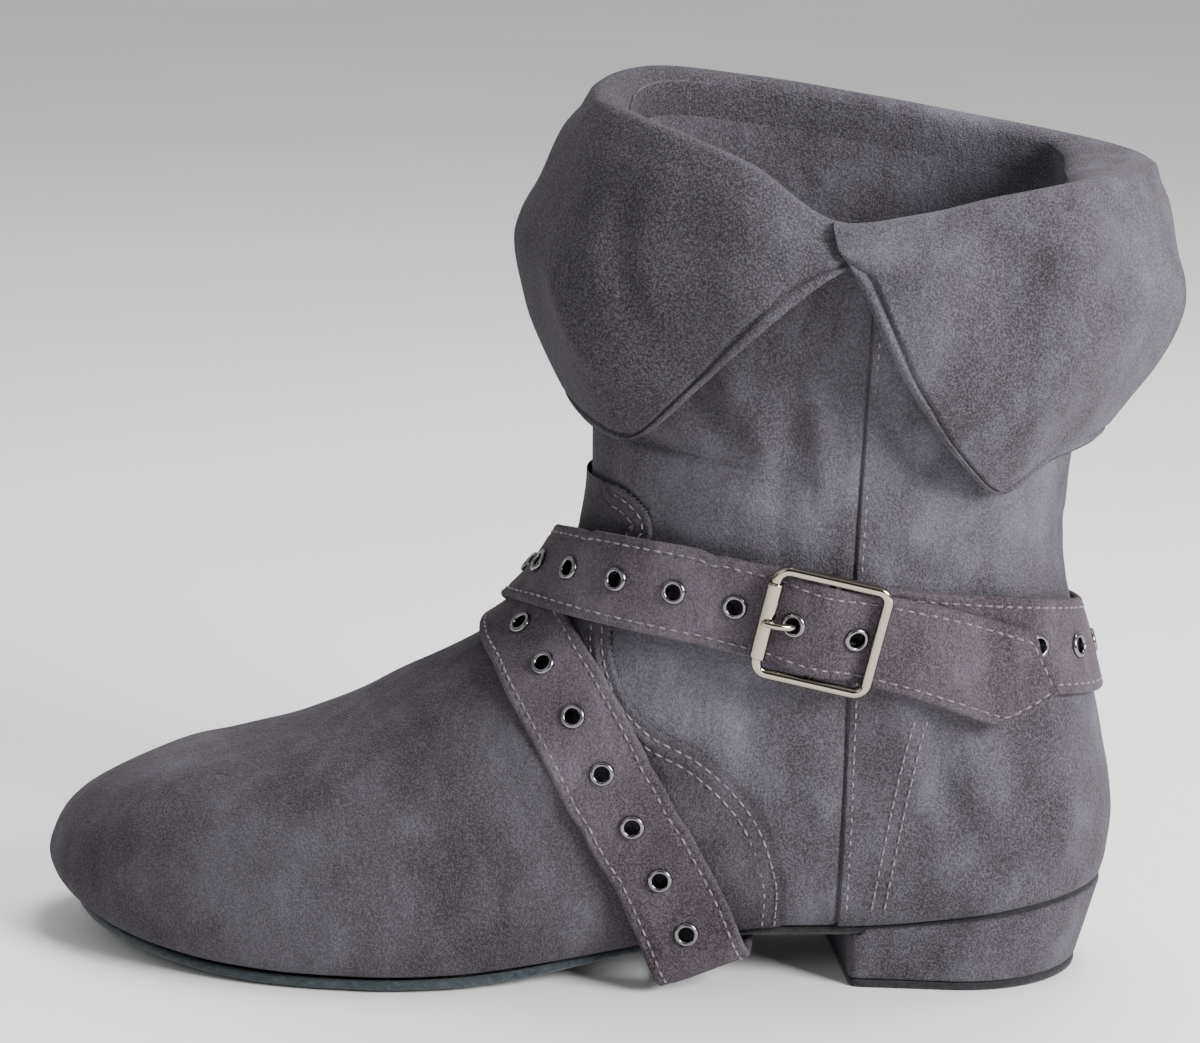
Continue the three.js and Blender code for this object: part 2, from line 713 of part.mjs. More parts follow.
// Steps sideways over the form from the centre line, half a strap width each way
function acrossStrap(row, heading) {
  const { normal } = slopes(row.turn, row.level);
  const sideways = unit(cross(normal, heading));
  return [-1, 0, 1].map((way) => {
    let { turn, level } = row;
    const half = (way * strapWidth * row.width) / 2;
    const steps = 4;
    for (let i = 1; i <= steps && way; i += 1) {
      const target = plus(form(row.turn, row.level), sideways, (half * i) / steps);
      const away = plus(target, form(turn, level), -1);
      const { along, rising } = slopes(turn, level);
      const [aa, ab, bb] = [dot(along, along), dot(along, rising), dot(rising, rising)];
      const [ta, tb] = [dot(away, along), dot(away, rising)];
      const det = aa * bb - ab * ab;
      turn += (ta * bb - tb * ab) / det;
      level += (tb * aa - ta * ab) / det;
    }
    return lifted(turn, max(level, 0.002), row.lift);
  });
}

// Under the arch the band lies on a slanted plane below the sole and folds up outside the vamp:
// out as a share of strapThickness, rise and up of heelHeight, ahead and fore of footLength
const archFolds = [
  { out: 0.1, rise: 0.662, ahead: 0.021 },
  { out: 0.1, rise: 0.392, ahead: 0.012 },
  { out: -0.15, rise: 0.157, ahead: 0.005 },
  { out: -0.9, rise: 0.034, ahead: 0.001 },
  { out: -2.4, rise: 0, ahead: 0 },
];
const archFront = { fore: 0.4, up: 0.137 };
const archRear = { fore: 0.3165, up: 0.549 };

// The widest half width of the foot at a fore place
const bulgeLevels = [0.1, 0.15, 0.2, 0.25, 0.3];
const bulge = (fore, side) => max(...bulgeLevels.map((level) => halfWidth(level, fore, side)));

function archPlaces(side) {
  return archFolds.map(({ out, rise, ahead }) => [0, 0.5, 1].map((share) => {
    const fore = (mix(archRear.fore, archFront.fore, share) + ahead) * footLength;
    const away = bulge(fore, side) + layerLift + out * strapThickness;
    return [fore, side * away, (mix(archRear.up, archFront.up, share) + rise) * heelHeight];
  }));
}

function bandBody(stations, thickness) {
  const body = newBody();
  const inner = stations.map((places) => places);
  const rings = inner.map((places, k) => {
    const before = inner[max(0, k - 1)];
    const after = inner[min(inner.length - 1, k + 1)];
    const over = places.map((place, i) => {
      const heading = unit(plus(after[i], before[i], -1));
      const spread = plus(places[min(2, i + 1)], places[max(0, i - 1)], -1);
      return plus(place, unit(cross(heading, spread)), thickness);
    });
    return [...places, ...over.reverse()];
  });
  const ids = rings.map((ring) => addRow(body, ring));
  for (let i = 1; i < ids.length; i += 1) joinRows(body, ids[i - 1], ids[i], true);
  const section = [[-1, 0], [0, 0], [1, 0], [1, 1], [0, 1], [-1, 1]];
  capOutline(body, ids[0], section, true);
  capOutline(body, ids[ids.length - 1], section, false);
  return { body, rings };
}

const prongTurn = 0.885;
const diagonalTurn = 4.445;
// The band is punched up to one eyelet past the prong's own
const tailOrder = 1;
const ankleStations = runStations(ankleRun, diagonalTurn, 'start');
const archStations = runStations(archRun, prongTurn, 'finish');

// The fold under the arch carries both trains of stations on to its middle
function foldStations() {
  const before = ankleStations[ankleStations.length - 1];
  const after = archStations[0];
  const rows = [before.places, ...archPlaces(-1), ...archPlaces(1).reverse(), after.places];
  const curves = [0, 1, 2].map((i) => (
    new THREE.CatmullRomCurve3(rows.map((places) => new THREE.Vector3(...places[i])), false, 'centripetal')
  ));
  const total = curves[1].getLength();
  const step = eyeletPitch / 2;
  const near = [];
  const far = [];
  for (let k = 1; k * step < total / 2 - 0.2 * step; k += 1) {
    const bent = (k - 0.5) * step;
    if ((before.order + k) % 2 !== 0) near.push({ at: bent, order: 0 });
    if ((after.order - k) % 2 === 0) far.unshift({ at: total - bent, order: 0 });
    near.push({ at: k * step, order: before.order + k });
    far.unshift({ at: total - k * step, order: after.order - k });
  }
  return [...near, ...far].map(({ at, order }) => (
    { order, row: {}, places: curves.map((curve) => curve.getPointAt(at / total).toArray()) }
  ));
}

const stations = [...ankleStations, ...foldStations(), ...archStations];
const band = bandBody(stations.map(({ places }) => places), strapThickness);

// A seat for an eyelet midway between two stations of the band, on its outer face
function seatAfter(k) {
  const [near, far] = [band.rings[k], band.rings[k + 1]];
  const heading = unit(plus(far[4], near[4], -1));
  const spread = plus(plus(near[3], near[5], -1), plus(far[3], far[5], -1));
  const normal = unit(cross(heading, spread));
  const place = near[4].map((x, i) => (x + far[4][i]) / 2);
  // Where the band is hollow across, the eyelet stands on the steepest slope beside its middle
  const rise = max(...[near[3], near[5], far[3], far[5]].map((edge) => dot(plus(edge, place, -1), normal)));
  const hollow = (rise * eyeletRadius * 2) / strapWidth;
  return { place: plus(place, normal, max(0, hollow)), heading, normal };
}

// The width of the band at a station
const spanOf = (places) => hypot(...plus(places[2], places[0], -1));

// Whether another pass of the band lies over the middle of the seat after station k
function covered({ place, normal }, k) {
  return stations.some(({ places }, j) => {
    if (j === 0 || abs(j - k) < 7) return false;
    const before = stations[j - 1].places;
    const run = plus(places[1], before[1], -1);
    const share = dot(plus(place, before[1], -1), run) / dot(run, run);
    // On the outside of a bend the spans of two stations part a little
    if (share < -0.2 || share > 1.2) return false;
    const away = plus(plus(before[1], run, share), place, -1);
    const height = dot(away, normal);
    const aside = hypot(...plus(away, normal, -height));
    const halfBand = mix(spanOf(before), spanOf(places), share) / 2;
    // One that lies lower than an eyelet's rim has to clear the whole eyelet
    const clear = halfBand + (height < gap + eyeletHeight ? eyeletRadius : 0);
    return height > -strapThickness && height < 3 * strapThickness && aside < clear;
  });
}

// Two trains of eyelets at one pitch, none under another pass of the band or under the arch, and
// none on the tail past the frame
const eyeletSeats = stations
  .map(({ order }, k) => ({ order, k }))
  .filter(({ order }) => abs(order % 2) === 1)
  .map(({ k }) => ({ ...seatAfter(k), k }))
  .filter((seat) => seat.normal[2] > -0.7 && !covered(seat, seat.k));

// A body of revolution round a seat, from a closed profile of [radius, height over the seat]
function turned(rim, { place, heading, normal }, segments) {
  const sideways = cross(normal, heading);
  const body = newBody();
  const rings = [];
  for (let i = 0; i < segments; i += 1) {
    const angle = (2 * PI * (i + 0.5)) / segments;
    const out = plus(heading.map((x) => x * cos(angle)), sideways, sin(angle));
    rings.push(addRow(body, rim.map(([radius, height]) => plus(plus(place, out, radius), normal, height))));
  }
  rings.forEach((ring, i) => joinRows(body, ring, rings[(i + 1) % segments], true));
  return body;
}

// A solid pin along a seat's normal
function pin(radius, from, to, { place, heading, normal }, segments) {
  const sideways = cross(normal, heading);
  const ring = (height) => Array.from({ length: segments }, (_, i) => {
    const angle = (2 * PI * (i + 0.5)) / segments;
    const out = plus(heading.map((x) => x * cos(angle)), sideways, sin(angle));
    return plus(plus(place, out, radius), normal, height);
  });
  return stack([ring(from), ring(to)]);
}

const eyeletSides = 8;
let holed = toManifold(toGeometry(band.body));
for (const seat of eyeletSeats) {
  const hole = pin(eyeletHole + gap / 2, -1.3 * strapThickness, strapThickness, seat, eyeletSides);
  holed = holed.subtract(toManifold(toGeometry(hole)));
}
addPart('strap', fromManifold(holed), strapSuede);

eyeletSeats.forEach((seat, i) => {
  const rim = [
    [eyeletHole, gap],
    [eyeletRadius, gap],
    [mix(eyeletHole, eyeletRadius, 0.42), gap + eyeletHeight],
  ];
  const name = `eyelet_${String(i + 1).padStart(2, '0')}`;
  addPart(name, toGeometry(turned(rim, seat, eyeletSides)), gunmetal);
});

// Buckle: a square frame with a set-down centre bar, a roller on its front side and a prong
const buckleTurn = 0.94;
const buckleLevel = 0.873;
const frameLift = 3.4 * strapThickness;
const barLift = 2.15 * strapThickness;
const buckleSpan = strapWidth + 1 + buckleBar;
const buckleSeat = (() => {
  const { normal } = slopes(buckleTurn, buckleLevel);
  const ahead = plus(form(0.825, 0.898), form(1.06, 0.848), -1);
  const heading = unit(plus(ahead, normal, -dot(ahead, normal)));
  return { place: form(buckleTurn, buckleLevel), heading, normal, up: cross(normal, heading) };
})();
const atBuckle = (ahead, up, lift) => {
  const { place, heading, normal, up: rise } = buckleSeat;
  return plus(plus(plus(place, heading, ahead), rise, up), normal, lift);
};

// A round bar through places given in buckle terms; a closed one is a frame
function barThrough(route, radius, sides, closed) {
  const body = newBody();
  const count = route.length;
  const rings = route.map((place, i) => {
    const before = route[closed ? (i + count - 1) % count : max(0, i - 1)];
    const after = route[closed ? (i + 1) % count : min(count - 1, i + 1)];
    const along = unit(plus(after, before, -1));
    const aside = abs(along[2]) < 0.9 ? unit(cross(along, [0, 0, 1])) : unit(cross(along, [0, 1, 0]));
    const over = cross(along, aside);
    return addRow(body, Array.from({ length: sides }, (_, k) => {
      const angle = (2 * PI * (k + 0.5)) / sides;
      return atBuckle(...plus(plus(place, aside, radius * cos(angle)), over, radius * sin(angle)));
    }));
  });
  for (let i = closed ? 0 : 1; i < count; i += 1) {
    joinRows(body, rings[(i + count - 1) % count], rings[i], true);
  }
  if (!closed) {
    const outline = rings[0].map((_, k) => [cos((2 * PI * k) / sides), sin((2 * PI * k) / sides)]);
    capOutline(body, rings[0], outline, true);
    capOutline(body, rings[count - 1], outline, false);
  }
  return body;
}

function frameRoute() {
  const half = (buckleLength - buckleBar) / 2;
  const rise = buckleSpan / 2;
  const route = [];
  for (let quarter = 0; quarter < 4; quarter += 1) {
    const ahead = quarter === 0 || quarter === 3 ? 1 : -1;
    const up = quarter < 2 ? 1 : -1;
    for (let i = 0; i <= 2; i += 1) {
      const angle = ((quarter + i / 2) * PI) / 2;
      route.push([
        ahead * (half - buckleCorner) + buckleCorner * cos(angle),
        up * (rise - buckleCorner) + buckleCorner * sin(angle),
        frameLift,
      ]);
    }
  }
  return route;
}

function boxAtBuckle([aheadLow, aheadHigh], [upLow, upHigh], [low, high]) {
  const ring = (lift) => [
    atBuckle(aheadLow, upLow, lift),
    atBuckle(aheadHigh, upLow, lift),
    atBuckle(aheadHigh, upHigh, lift),
    atBuckle(aheadLow, upHigh, lift),
  ];
  return stack([ring(low), ring(high)]);
}

const barSides = 8;
const half = buckleSpan / 2;
let frame = toManifold(toGeometry(barThrough(frameRoute(), buckleBar / 2, barSides, true)));
const centreBar = barThrough([[0, -half, barLift], [0, half, barLift]], barRadius, barSides, false);
frame = frame.add(toManifold(toGeometry(centreBar)));
for (const way of [-1, 1]) {
  const sides = [way * half - 0.41 * buckleBar, way * half + 0.41 * buckleBar];
  const lug = boxAtBuckle([-0.68 * buckleBar, 0.68 * buckleBar], sides, [barLift - buckleBar / 2, frameLift]);
  frame = frame.add(toManifold(toGeometry(lug)));
}
addPart('buckle_frame', fromManifold(frame), nickel);

const rollerInner = buckleBar / 2 + gap;
const rollerOuter = rollerInner + rollerWall;
const rollerHalf = half - 1.31 * buckleCorner;
const rollerSides = 10;
function rollerBody() {
  const body = newBody();
  const rings = [];
  for (let i = 0; i < rollerSides; i += 1) {
    const angle = (2 * PI * i) / rollerSides;
    const profileRing = [
      [rollerInner, -rollerHalf],
      [rollerOuter, -rollerHalf],
      [rollerOuter, rollerHalf],
      [rollerInner, rollerHalf],
    ];
    const front = (buckleLength - buckleBar) / 2;
    rings.push(addRow(body, profileRing.map(([radius, up]) => (
      atBuckle(front + radius * cos(angle), up, frameLift + radius * sin(angle))
    ))));
  }
  rings.forEach((ring, i) => joinRows(body, ring, rings[(i + 1) % rollerSides], true));
  return body;
}
addPart('buckle_roller', toGeometry(rollerBody()), nickel);

// The prong hooks round the centre bar, comes up through its eyelet and rests on the roller;
// its places ahead of the bar and over it are shares of buckleLength
const prongRoute = [
  [-0.0321, -0.0571],
  [0, -0.0661],
  [0.05, -0.0571],
  [0.1036, -0.0339],
  [0.1571, -0.0107],
  [0.2, 0.0321],
  [0.225, 0.0964],
  [0.2571, 0.1429],
  [0.3143, 0.1714],
  [0.3929, 0.1857],
  [0.5071, 0.1768],
].map(([ahead, lift]) => [ahead * buckleLength, 0, barLift + lift * buckleLength]);
addPart('buckle_prong', toGeometry(barThrough(prongRoute, prongRadius, 6, false)), nickel);

// Origin: the middle of the box round the boot, on the floor it stands on
const box = new THREE.Box3().setFromObject(boot);
const middle = box.getCenter(new THREE.Vector3());
boot.position.set(-middle.x, -middle.y, -box.min.z);

export default boot;
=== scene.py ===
"""Left dance boot of grey microsuede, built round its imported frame.

Sizes are in millimetres as the boot is measured, [fore, side, up], with fore counted from the heel
back; place() turns them into the frame's metres. A turn runs 0 front, 1 outer seam, 2 heel back,
3 inner seam, and a level 0 at the sole, 1 at the instep bend, 2 at the rim.
"""

import math

import bpy
import bmesh
import numpy as np
from mathutils import Matrix, Vector
from mathutils.bvhtree import BVHTree


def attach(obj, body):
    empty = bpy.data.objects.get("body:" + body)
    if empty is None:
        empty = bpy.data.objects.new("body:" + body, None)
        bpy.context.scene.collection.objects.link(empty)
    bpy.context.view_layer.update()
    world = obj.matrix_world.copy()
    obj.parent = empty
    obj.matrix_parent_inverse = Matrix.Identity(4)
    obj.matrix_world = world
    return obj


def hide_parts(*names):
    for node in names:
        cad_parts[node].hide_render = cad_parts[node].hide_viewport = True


bl_info = {
    "name": "Dance boot",
    "version": (1, 0, 0),
    "blender": (4, 5, 0),
    "location": "View3D > Sidebar > Boot",
    "description": "Builds a suede dance boot piece by piece round its frame",
    "category": "Object",
}

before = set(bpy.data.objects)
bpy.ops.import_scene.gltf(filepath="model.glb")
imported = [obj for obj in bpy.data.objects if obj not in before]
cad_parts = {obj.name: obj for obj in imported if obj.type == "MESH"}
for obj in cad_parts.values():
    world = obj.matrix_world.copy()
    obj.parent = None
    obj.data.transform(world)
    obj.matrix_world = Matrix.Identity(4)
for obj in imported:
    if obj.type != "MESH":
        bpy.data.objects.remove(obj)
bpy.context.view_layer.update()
EYELETS = sorted(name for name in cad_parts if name.startswith("eyelet"))

# Sizes of the last, the shaft and the sole
FOOT_LENGTH = 256.0
BALL_WIDTH = 86.0
HEEL_WIDTH = 62.0
WAIST_WIDTH = 71.0
INSTEP_HEIGHT = 105.0
SHAFT_WIDTH = 84.0
RIM_HEIGHT = 206.5
TOE_SWAY = 7.0
HEEL_HEIGHT = 20.4
TOE_SPRING = 7.8
SOLE_THICKNESS = 3.0
WAIST_THICKNESS = 2.0
SOLE_MARGIN = 0.9
LIFT_THICKNESS = 1.8
HEEL_TAPER = 5.5
BREAST_FORE = 0.2227 * FOOT_LENGTH
BREAST_SLANT = 9.0
INSOLE_THICKNESS = 2.0
WALL = 1.8
VAMP_THICKNESS = 1.0
GAP = 0.3
SOLE_GAP = 0.9
CUFF_DEPTH = 70.0
CUFF_FLARE = 19.0
CUFF_THICKNESS = 2.4
ROLL_HEIGHT = 3.2
STRAP_WIDTH = 22.5
STRAP_THICKNESS = 2.0
EYELET_RADIUS = 2.95
EYELET_HOLE = 1.75
BUCKLE_LENGTH = 28.0
BUCKLE_BAR = 2.2
BAR_RADIUS = 0.8
PRONG_RADIUS = 0.7
THREAD_RADIUS = 0.25
FRAME_LIFT = 6.8
BAR_LIFT = 4.3

# The frame's origin, measured in the boot's own sizes
MIDDLE = np.array([120.551, 0.437, 0.0])


def place(points):
    """Boot millimetres [fore, side, up] to the frame's metres."""
    points = np.asarray(points, float)
    return (points * [-1, 1, 1] + MIDDLE * [1, -1, 1]) / 1000


def unplace(points):
    """The frame's metres back to boot millimetres."""
    return (np.asarray(points, float) * 1000 - MIDDLE * [1, -1, 1]) * [-1, 1, 1]


def smooth_step(x):
    x = np.clip(x, 0, 1)
    return x * x * (3 - 2 * x)


def mix(a, b, t):
    return a + (b - a) * t


def unit(v):
    return v / np.maximum(np.linalg.norm(v, axis=-1, keepdims=True), 1e-12)


def hill(x, at, width):
    """1 at a place, falling off smoothly to both sides."""
    return np.exp(-(((x - at) / width) ** 2))


def round_edge(away, radius):
    """Rise of a rounded edge: 0 on the edge, 1 from a radius away on."""
    return np.sqrt(np.clip(1 - np.clip(1 - away / radius, 0, 1) ** 2, 0, 1))


def joined(*spans):
    """Even steps along spans that follow one another, each one a start, an end and a count."""
    parts = [np.linspace(*span) for span in spans]
    return np.concatenate(parts[:1] + [part[1:] for part in parts[1:]])


def circle(sides):
    return np.arange(sides) * 2 * math.pi / sides


def lengths(line):
    """How far along a line each of its places lies."""
    return np.concatenate([[0], np.cumsum(np.linalg.norm(np.diff(line, axis=0), axis=1))])


def read_at(at, reach, line):
    """A line's places at some lengths along it, where reach holds its own lengths."""
    return np.stack([np.interp(at, reach, column) for column in line.T], -1)


def table(*rows):
    """A function that reads rows at any place of their first column, by monotone cubics."""
    rows = np.array(rows, float)
    xs, ys = rows[:, 0], rows[:, 1:]
    slope = np.diff(ys, axis=0) / np.diff(xs)[:, None]
    tangent = np.vstack([slope[:1], np.zeros_like(slope[1:]), slope[-1:]])
    before, after = slope[:-1], slope[1:]
    rising = before * after > 0
    with np.errstate(divide="ignore", invalid="ignore"):
        tangent[1:-1] = np.where(rising, 2 / (1 / before + 1 / after), 0)

    def read(x):
        at = np.clip(np.asarray(x, float), xs[0], xs[-1])
        i = np.clip(np.searchsorted(xs, at, side="right") - 1, 0, len(xs) - 2)
        span = (xs[i + 1] - xs[i])[..., None]
        t = (at - xs[i])[..., None] / span
        rise = ys[i + 1] - ys[i]
        bow = tangent[i] * span - rise
        lean = rise - tangent[i + 1] * span
        got = ys[i] + rise * t + t * (1 - t) * (bow * (1 - t) + lean * t)
        return got[..., 0] if got.shape[-1] == 1 else np.moveaxis(got, -1, 0)

    return read


# Side profile, shares of the foot length: level, front, back
profile = table(
    (0, 0.973, -0.01),
    (0.02, 0.983, -0.0113),
    (0.05, 0.9945, -0.013),
    (0.09, 0.9988, -0.0148),
    (0.14, 0.9947, -0.016),
    (0.2, 0.9855, -0.0172),
    (0.26, 0.968, -0.0176),
    (0.32, 0.939, -0.0165),
    (0.37, 0.905, -0.015),
    (0.42, 0.85, -0.013),
    (0.47, 0.794, -0.01),
    (0.52, 0.738, -0.0068),
    (0.57, 0.697, -0.0037),
    (0.63, 0.657, 0.0012),
    (0.7, 0.603, 0.009),
    (0.77, 0.552, 0.0175),
    (0.85, 0.517, 0.0266),
    (0.93, 0.495, 0.0335),
    (1, 0.482, 0.0366),
    (1.15, 0.4745, 0.0355),
    (1.3, 0.4745, 0.029),
    (1.6, 0.4725, 0.008),
    (2, 0.469, -0.0234),
)
# Half widths: level, shoulder, seat, nose, heel out, heel in, waist out, waist in, ball out, ball in
girth = table(
    (0, 0.672, 0.12, 2.3, 0.452, 0.452, 0.401, 0.324, 0.494, 0.452),
    (0.04, 0.67, 0.122, 2.3, 0.481, 0.481, 0.437, 0.366, 0.511, 0.472),
    (0.12, 0.66, 0.125, 2.3, 0.5, 0.5, 0.472, 0.415, 0.516, 0.48),
    (0.3, 0.63, 0.13, 2.2, 0.516, 0.516, 0.5, 0.465, 0.5, 0.47),
    (0.45, 0.56, 0.14, 2.1, 0.508, 0.508, 0.5, 0.479, 0.458, 0.44),
    (0.6, 0.41, 0.155, 2, 0.508, 0.508, 0.486, 0.479, 0.434, 0.422),
    (0.78, 0.3, 0.185, 2, 0.532, 0.532, 0.493, 0.486, 0.422, 0.416),
    (1, 0.25, 0.226, 2, 0.589, 0.589, 0.521, 0.521, 0.446, 0.446),
)
# Shaft: level, shoulder, seat, half width
shaft_girth = table((1, 0.25, 0.226, 0.437), (1.5, 0.246, 0.223, 0.468), (2, 0.242, 0.22, 0.5))
seam_line = table((0, 0.238), (1, 0.229), (2, 0.215))
# Underside of the sole: fore, share of the heel height, share of the toe spring
sole_line = table(
    (-0.04, 1.062, 0),
    (0, 1, 0),
    (0.2227, 0.657, 0),
    (0.27, 0.637, 0),
    (0.305, 0.603, 0),
    (0.35, 0.505, 0),
    (0.414, 0.338, 0),
    (0.469, 0.186, 0),
    (0.527, 0.069, 0),
    (0.586, 0.01, 0),
    (0.645, 0, 0),
    (0.734, 0, 0),
    (0.8, 0, 0.064),
    (0.871, 0, 0.282),
    (0.9375, 0, 0.59),
    (1, 0, 1),
)
rim_line = table(
    (0, 1),
    (0.45, 0.973),
    (0.7, 0.94),
    (0.93, 0.879),
    (1.1, 0.889),
    (1.3, 0.908),
    (1.6, 0.922),
    (2, 0.927),
    (2.4, 0.938),
    (2.7, 0.952),
    (3, 0.973),
    (3.3, 0.996),
    (3.65, 1.013),
    (4, 1),
)
HEEL_STATION, WAIST_STATION, BALL_STATION = 0.12, 0.39, 0.672


def sole_under(fore):
    heel, toe = sole_line(fore / FOOT_LENGTH)
    return heel * HEEL_HEIGHT + toe * TOE_SPRING


def sole_depth(fore):
    return mix(WAIST_THICKNESS, SOLE_THICKNESS, smooth_step((fore / FOOT_LENGTH - 0.37) / 0.16))


def feather(fore):
    """Height at which the upper starts over the sole."""
    return sole_under(fore) + sole_depth(fore) + SOLE_GAP


def half_width(level, fore, outer):
    share = fore / FOOT_LENGTH
    front, back = profile(level)
    shoulder, seat, nose, heel_out, heel_in, waist_out, waist_in, ball_out, ball_in = girth(level)
    heel = np.where(outer, heel_out, heel_in) * HEEL_WIDTH
    waist = np.where(outer, waist_out, waist_in) * WAIST_WIDTH
    ball = np.where(outer, ball_out, ball_in) * BALL_WIDTH
    rear = mix(heel, waist, smooth_step((share - HEEL_STATION) / (WAIST_STATION - HEEL_STATION)))
    ahead = mix(waist, ball, smooth_step((share - WAIST_STATION) / (BALL_STATION - WAIST_STATION)))
    half = np.where(share < WAIST_STATION, rear, ahead)
    up_shoulder, up_seat, up_half = shaft_girth(level)
    high = level > 1
    half = np.where(high, up_half * SHAFT_WIDTH, half)
    shoulder = np.where(high, up_shoulder, shoulder)
    seat = np.where(high, up_seat, seat)
    nose = np.where(high, 2, nose)
    t = np.clip((share - shoulder) / (front - shoulder), 0, 1)
    half = half * np.where(share > shoulder, np.sqrt(np.maximum(0, 1 - t**nose)), 1)
    t = np.clip((seat - share) / (seat - back), 0, 1)
    return half * np.where(share < seat, np.sqrt(np.maximum(0, 1 - t * t)), 1)


def sway(fore):
    return TOE_SWAY * np.maximum(0, (fore / FOOT_LENGTH - 0.6) / 0.4) ** 2


def form(turn, level):
    """The outside of the boot."""
    turn, level = np.broadcast_arrays(np.asarray(turn, float), np.asarray(level, float))
    turn = np.mod(turn, 4)
    side = np.where(turn <= 2, -1.0, 1.0)
    away = np.where(turn <= 2, turn, 4 - turn)
    front, back = profile(level)
    seam = seam_line(level) * FOOT_LENGTH
    fore = np.where(
        away <= 1,
        seam + (front * FOOT_LENGTH - seam) * np.cos(away * math.pi / 2),
        seam - (seam - back * FOOT_LENGTH) * np.sin((away - 1) * math.pi / 2),
    )
    sink = np.maximum(0, 1 - level / 0.66) ** 1.5
    low = level * INSTEP_HEIGHT + feather(fore) * sink
    high = mix(INSTEP_HEIGHT, rim_line(turn) * RIM_HEIGHT, level - 1)
    across = sway(fore) + side * half_width(level, fore, side < 0)
    return np.stack([fore, across, np.where(level <= 1, low, high)], -1)


def slopes(turn, level):
    """Directions along a turn and up a level, and the outward normal."""
    step = 1e-3
    turn, level = np.broadcast_arrays(np.asarray(turn, float), np.asarray(level, float))
    low, high = np.maximum(0, level - step), np.minimum(2, level + step)
    along = (form(turn + step, level) - form(turn - step, level)) / (2 * step)
    rising = (form(turn, high) - form(turn, low)) / (high - low)[..., None]
    return along, rising, unit(np.cross(rising, along))


def lifted(turn, level, lift):
    return form(turn, level) + slopes(turn, level)[2] * np.asarray(lift, float)[..., None]


# Creases: side (-1 outer, 1 inner, 0 round both), fore, up, lean in degrees, half length, half
# width, height over the form (a trough is negative), bow at the ends
CREASES = (
    (-1, 96, 148, 62, 17, 6.0, -1.6, 3),
    (-1, 84, 139, 48, 20, 4.5, 1.1, 2),
    (-1, 100, 128, 20, 15, 4.0, -1.1, 2),
    (-1, 88, 120, 12, 16, 3.6, 0.8, -2),
    (-1, 72, 128, 75, 13, 3.6, -0.7, 2),
    (-1, 44, 128, -32, 17, 4.5, -0.8, 3),
    (-1, 30, 117, -20, 14, 4.0, -0.9, 2),
    (-1, 24, 124, -30, 14, 3.4, 0.7, 2),
    (-1, 20, 108, -8, 12, 3.0, -0.6, 1),
    (-1, 76, 118, 88, 22, 3.0, -0.7, 2),
    (-1, 66, 132, 84, 16, 3.0, 0.6, -2),
    (-1, 52, 140, 64, 16, 3.4, -0.8, 2),
    (-1, 40, 102, 20, 16, 3.4, -0.6, 2),
    (-1, 90, 104, 8, 14, 3.0, -0.7, -2),
    (-1, 82, 62, 84, 18, 3.4, -0.7, 2),
    (-1, 74, 44, 86, 14, 3.4, 0.6, -2),
    (-1, 60, 66, 80, 15, 4.0, -0.7, 2),
    (-1, 70, 58, 76, 16, 4.0, 0.6, 2),
    (-1, 44, 60, 78, 22, 4.6, 0.6, 3),
    (-1, 36, 50, 70, 20, 4.6, -0.6, 3),
    (-1, 20, 44, 30, 16, 4.5, 0.5, 3),
    (-1, 18, 30, 10, 15, 4.0, -0.5, 2),
    (-1, 116, 60, 38, 20, 5.0, -0.9, 3),
    (-1, 128, 54, 40, 16, 5.0, 0.7, 3),
    (-1, 104, 46, 24, 20, 5.0, 0.5, 2),
    (0, 140, 83, -30, 40, 4.0, -0.9, 2),
    (0, 148, 78, -30, 40, 4.4, 0.6, 2),
    (0, 160, 70, -40, 26, 5.0, -0.5, 2),
    (0, 196, 52, -66, 24, 6.0, -0.35, 2),
    (0, 224, 38, -56, 20, 6.0, 0.35, 2),
    (1, 96, 140, 62, 18, 6.0, -1.2, 3),
    (1, 78, 132, 40, 20, 5.0, 0.9, 2),
    (1, 60, 122, -10, 24, 4.5, -1.0, 3),
    (1, 34, 124, -30, 16, 4.5, -0.8, 3),
    (1, 26, 112, -16, 14, 4.0, 0.6, 2),
    (1, 70, 60, 30, 26, 5.0, -0.7, 3),
    (1, 50, 44, 10, 24, 5.0, 0.5, 3),
    (1, 110, 50, 34, 26, 5.0, -0.8, 3),
)
# The same on the cuff
CUFF_CREASES = (
    (-1, 13, 190, 16, 8, 1.5, -0.8, -4),
    (-1, 30, 178, -24, 20, 4.0, 0.5, 3),
    (-1, 58, 168, -52, 18, 4.0, -0.4, 2),
    (-1, 104, 176, 78, 15, 2.6, -0.7, 2),
    (-1, 112, 160, 70, 13, 2.6, 0.6, 2),
    (-1, 92, 150, 40, 16, 4.0, -0.5, 3),
    (1, 40, 176, 60, 18, 4.0, -0.6, 3),
    (1, 90, 170, -50, 18, 4.0, 0.6, 2),
)


def crease_height(points, rows=CREASES):
    """Height of the creases over boot points, in millimetres, as deep as the setting says."""
    total = np.zeros(points.shape[:-1])
    for side, fore, up, lean, length, width, height, bow in rows:
        angle = math.radians(lean)
        ahead, over = points[..., 0] - fore, points[..., 2] - up
        along = ahead * math.cos(angle) + over * math.sin(angle)
        across = over * math.cos(angle) - ahead * math.sin(angle) - bow * (along / length) ** 2
        near = smooth_step(0.5 + side * points[..., 1] / 16) if side else 1.0
        total += height * near * np.exp(-((across / width) ** 2) - (along / length) ** 4)
    return settings().crease * total


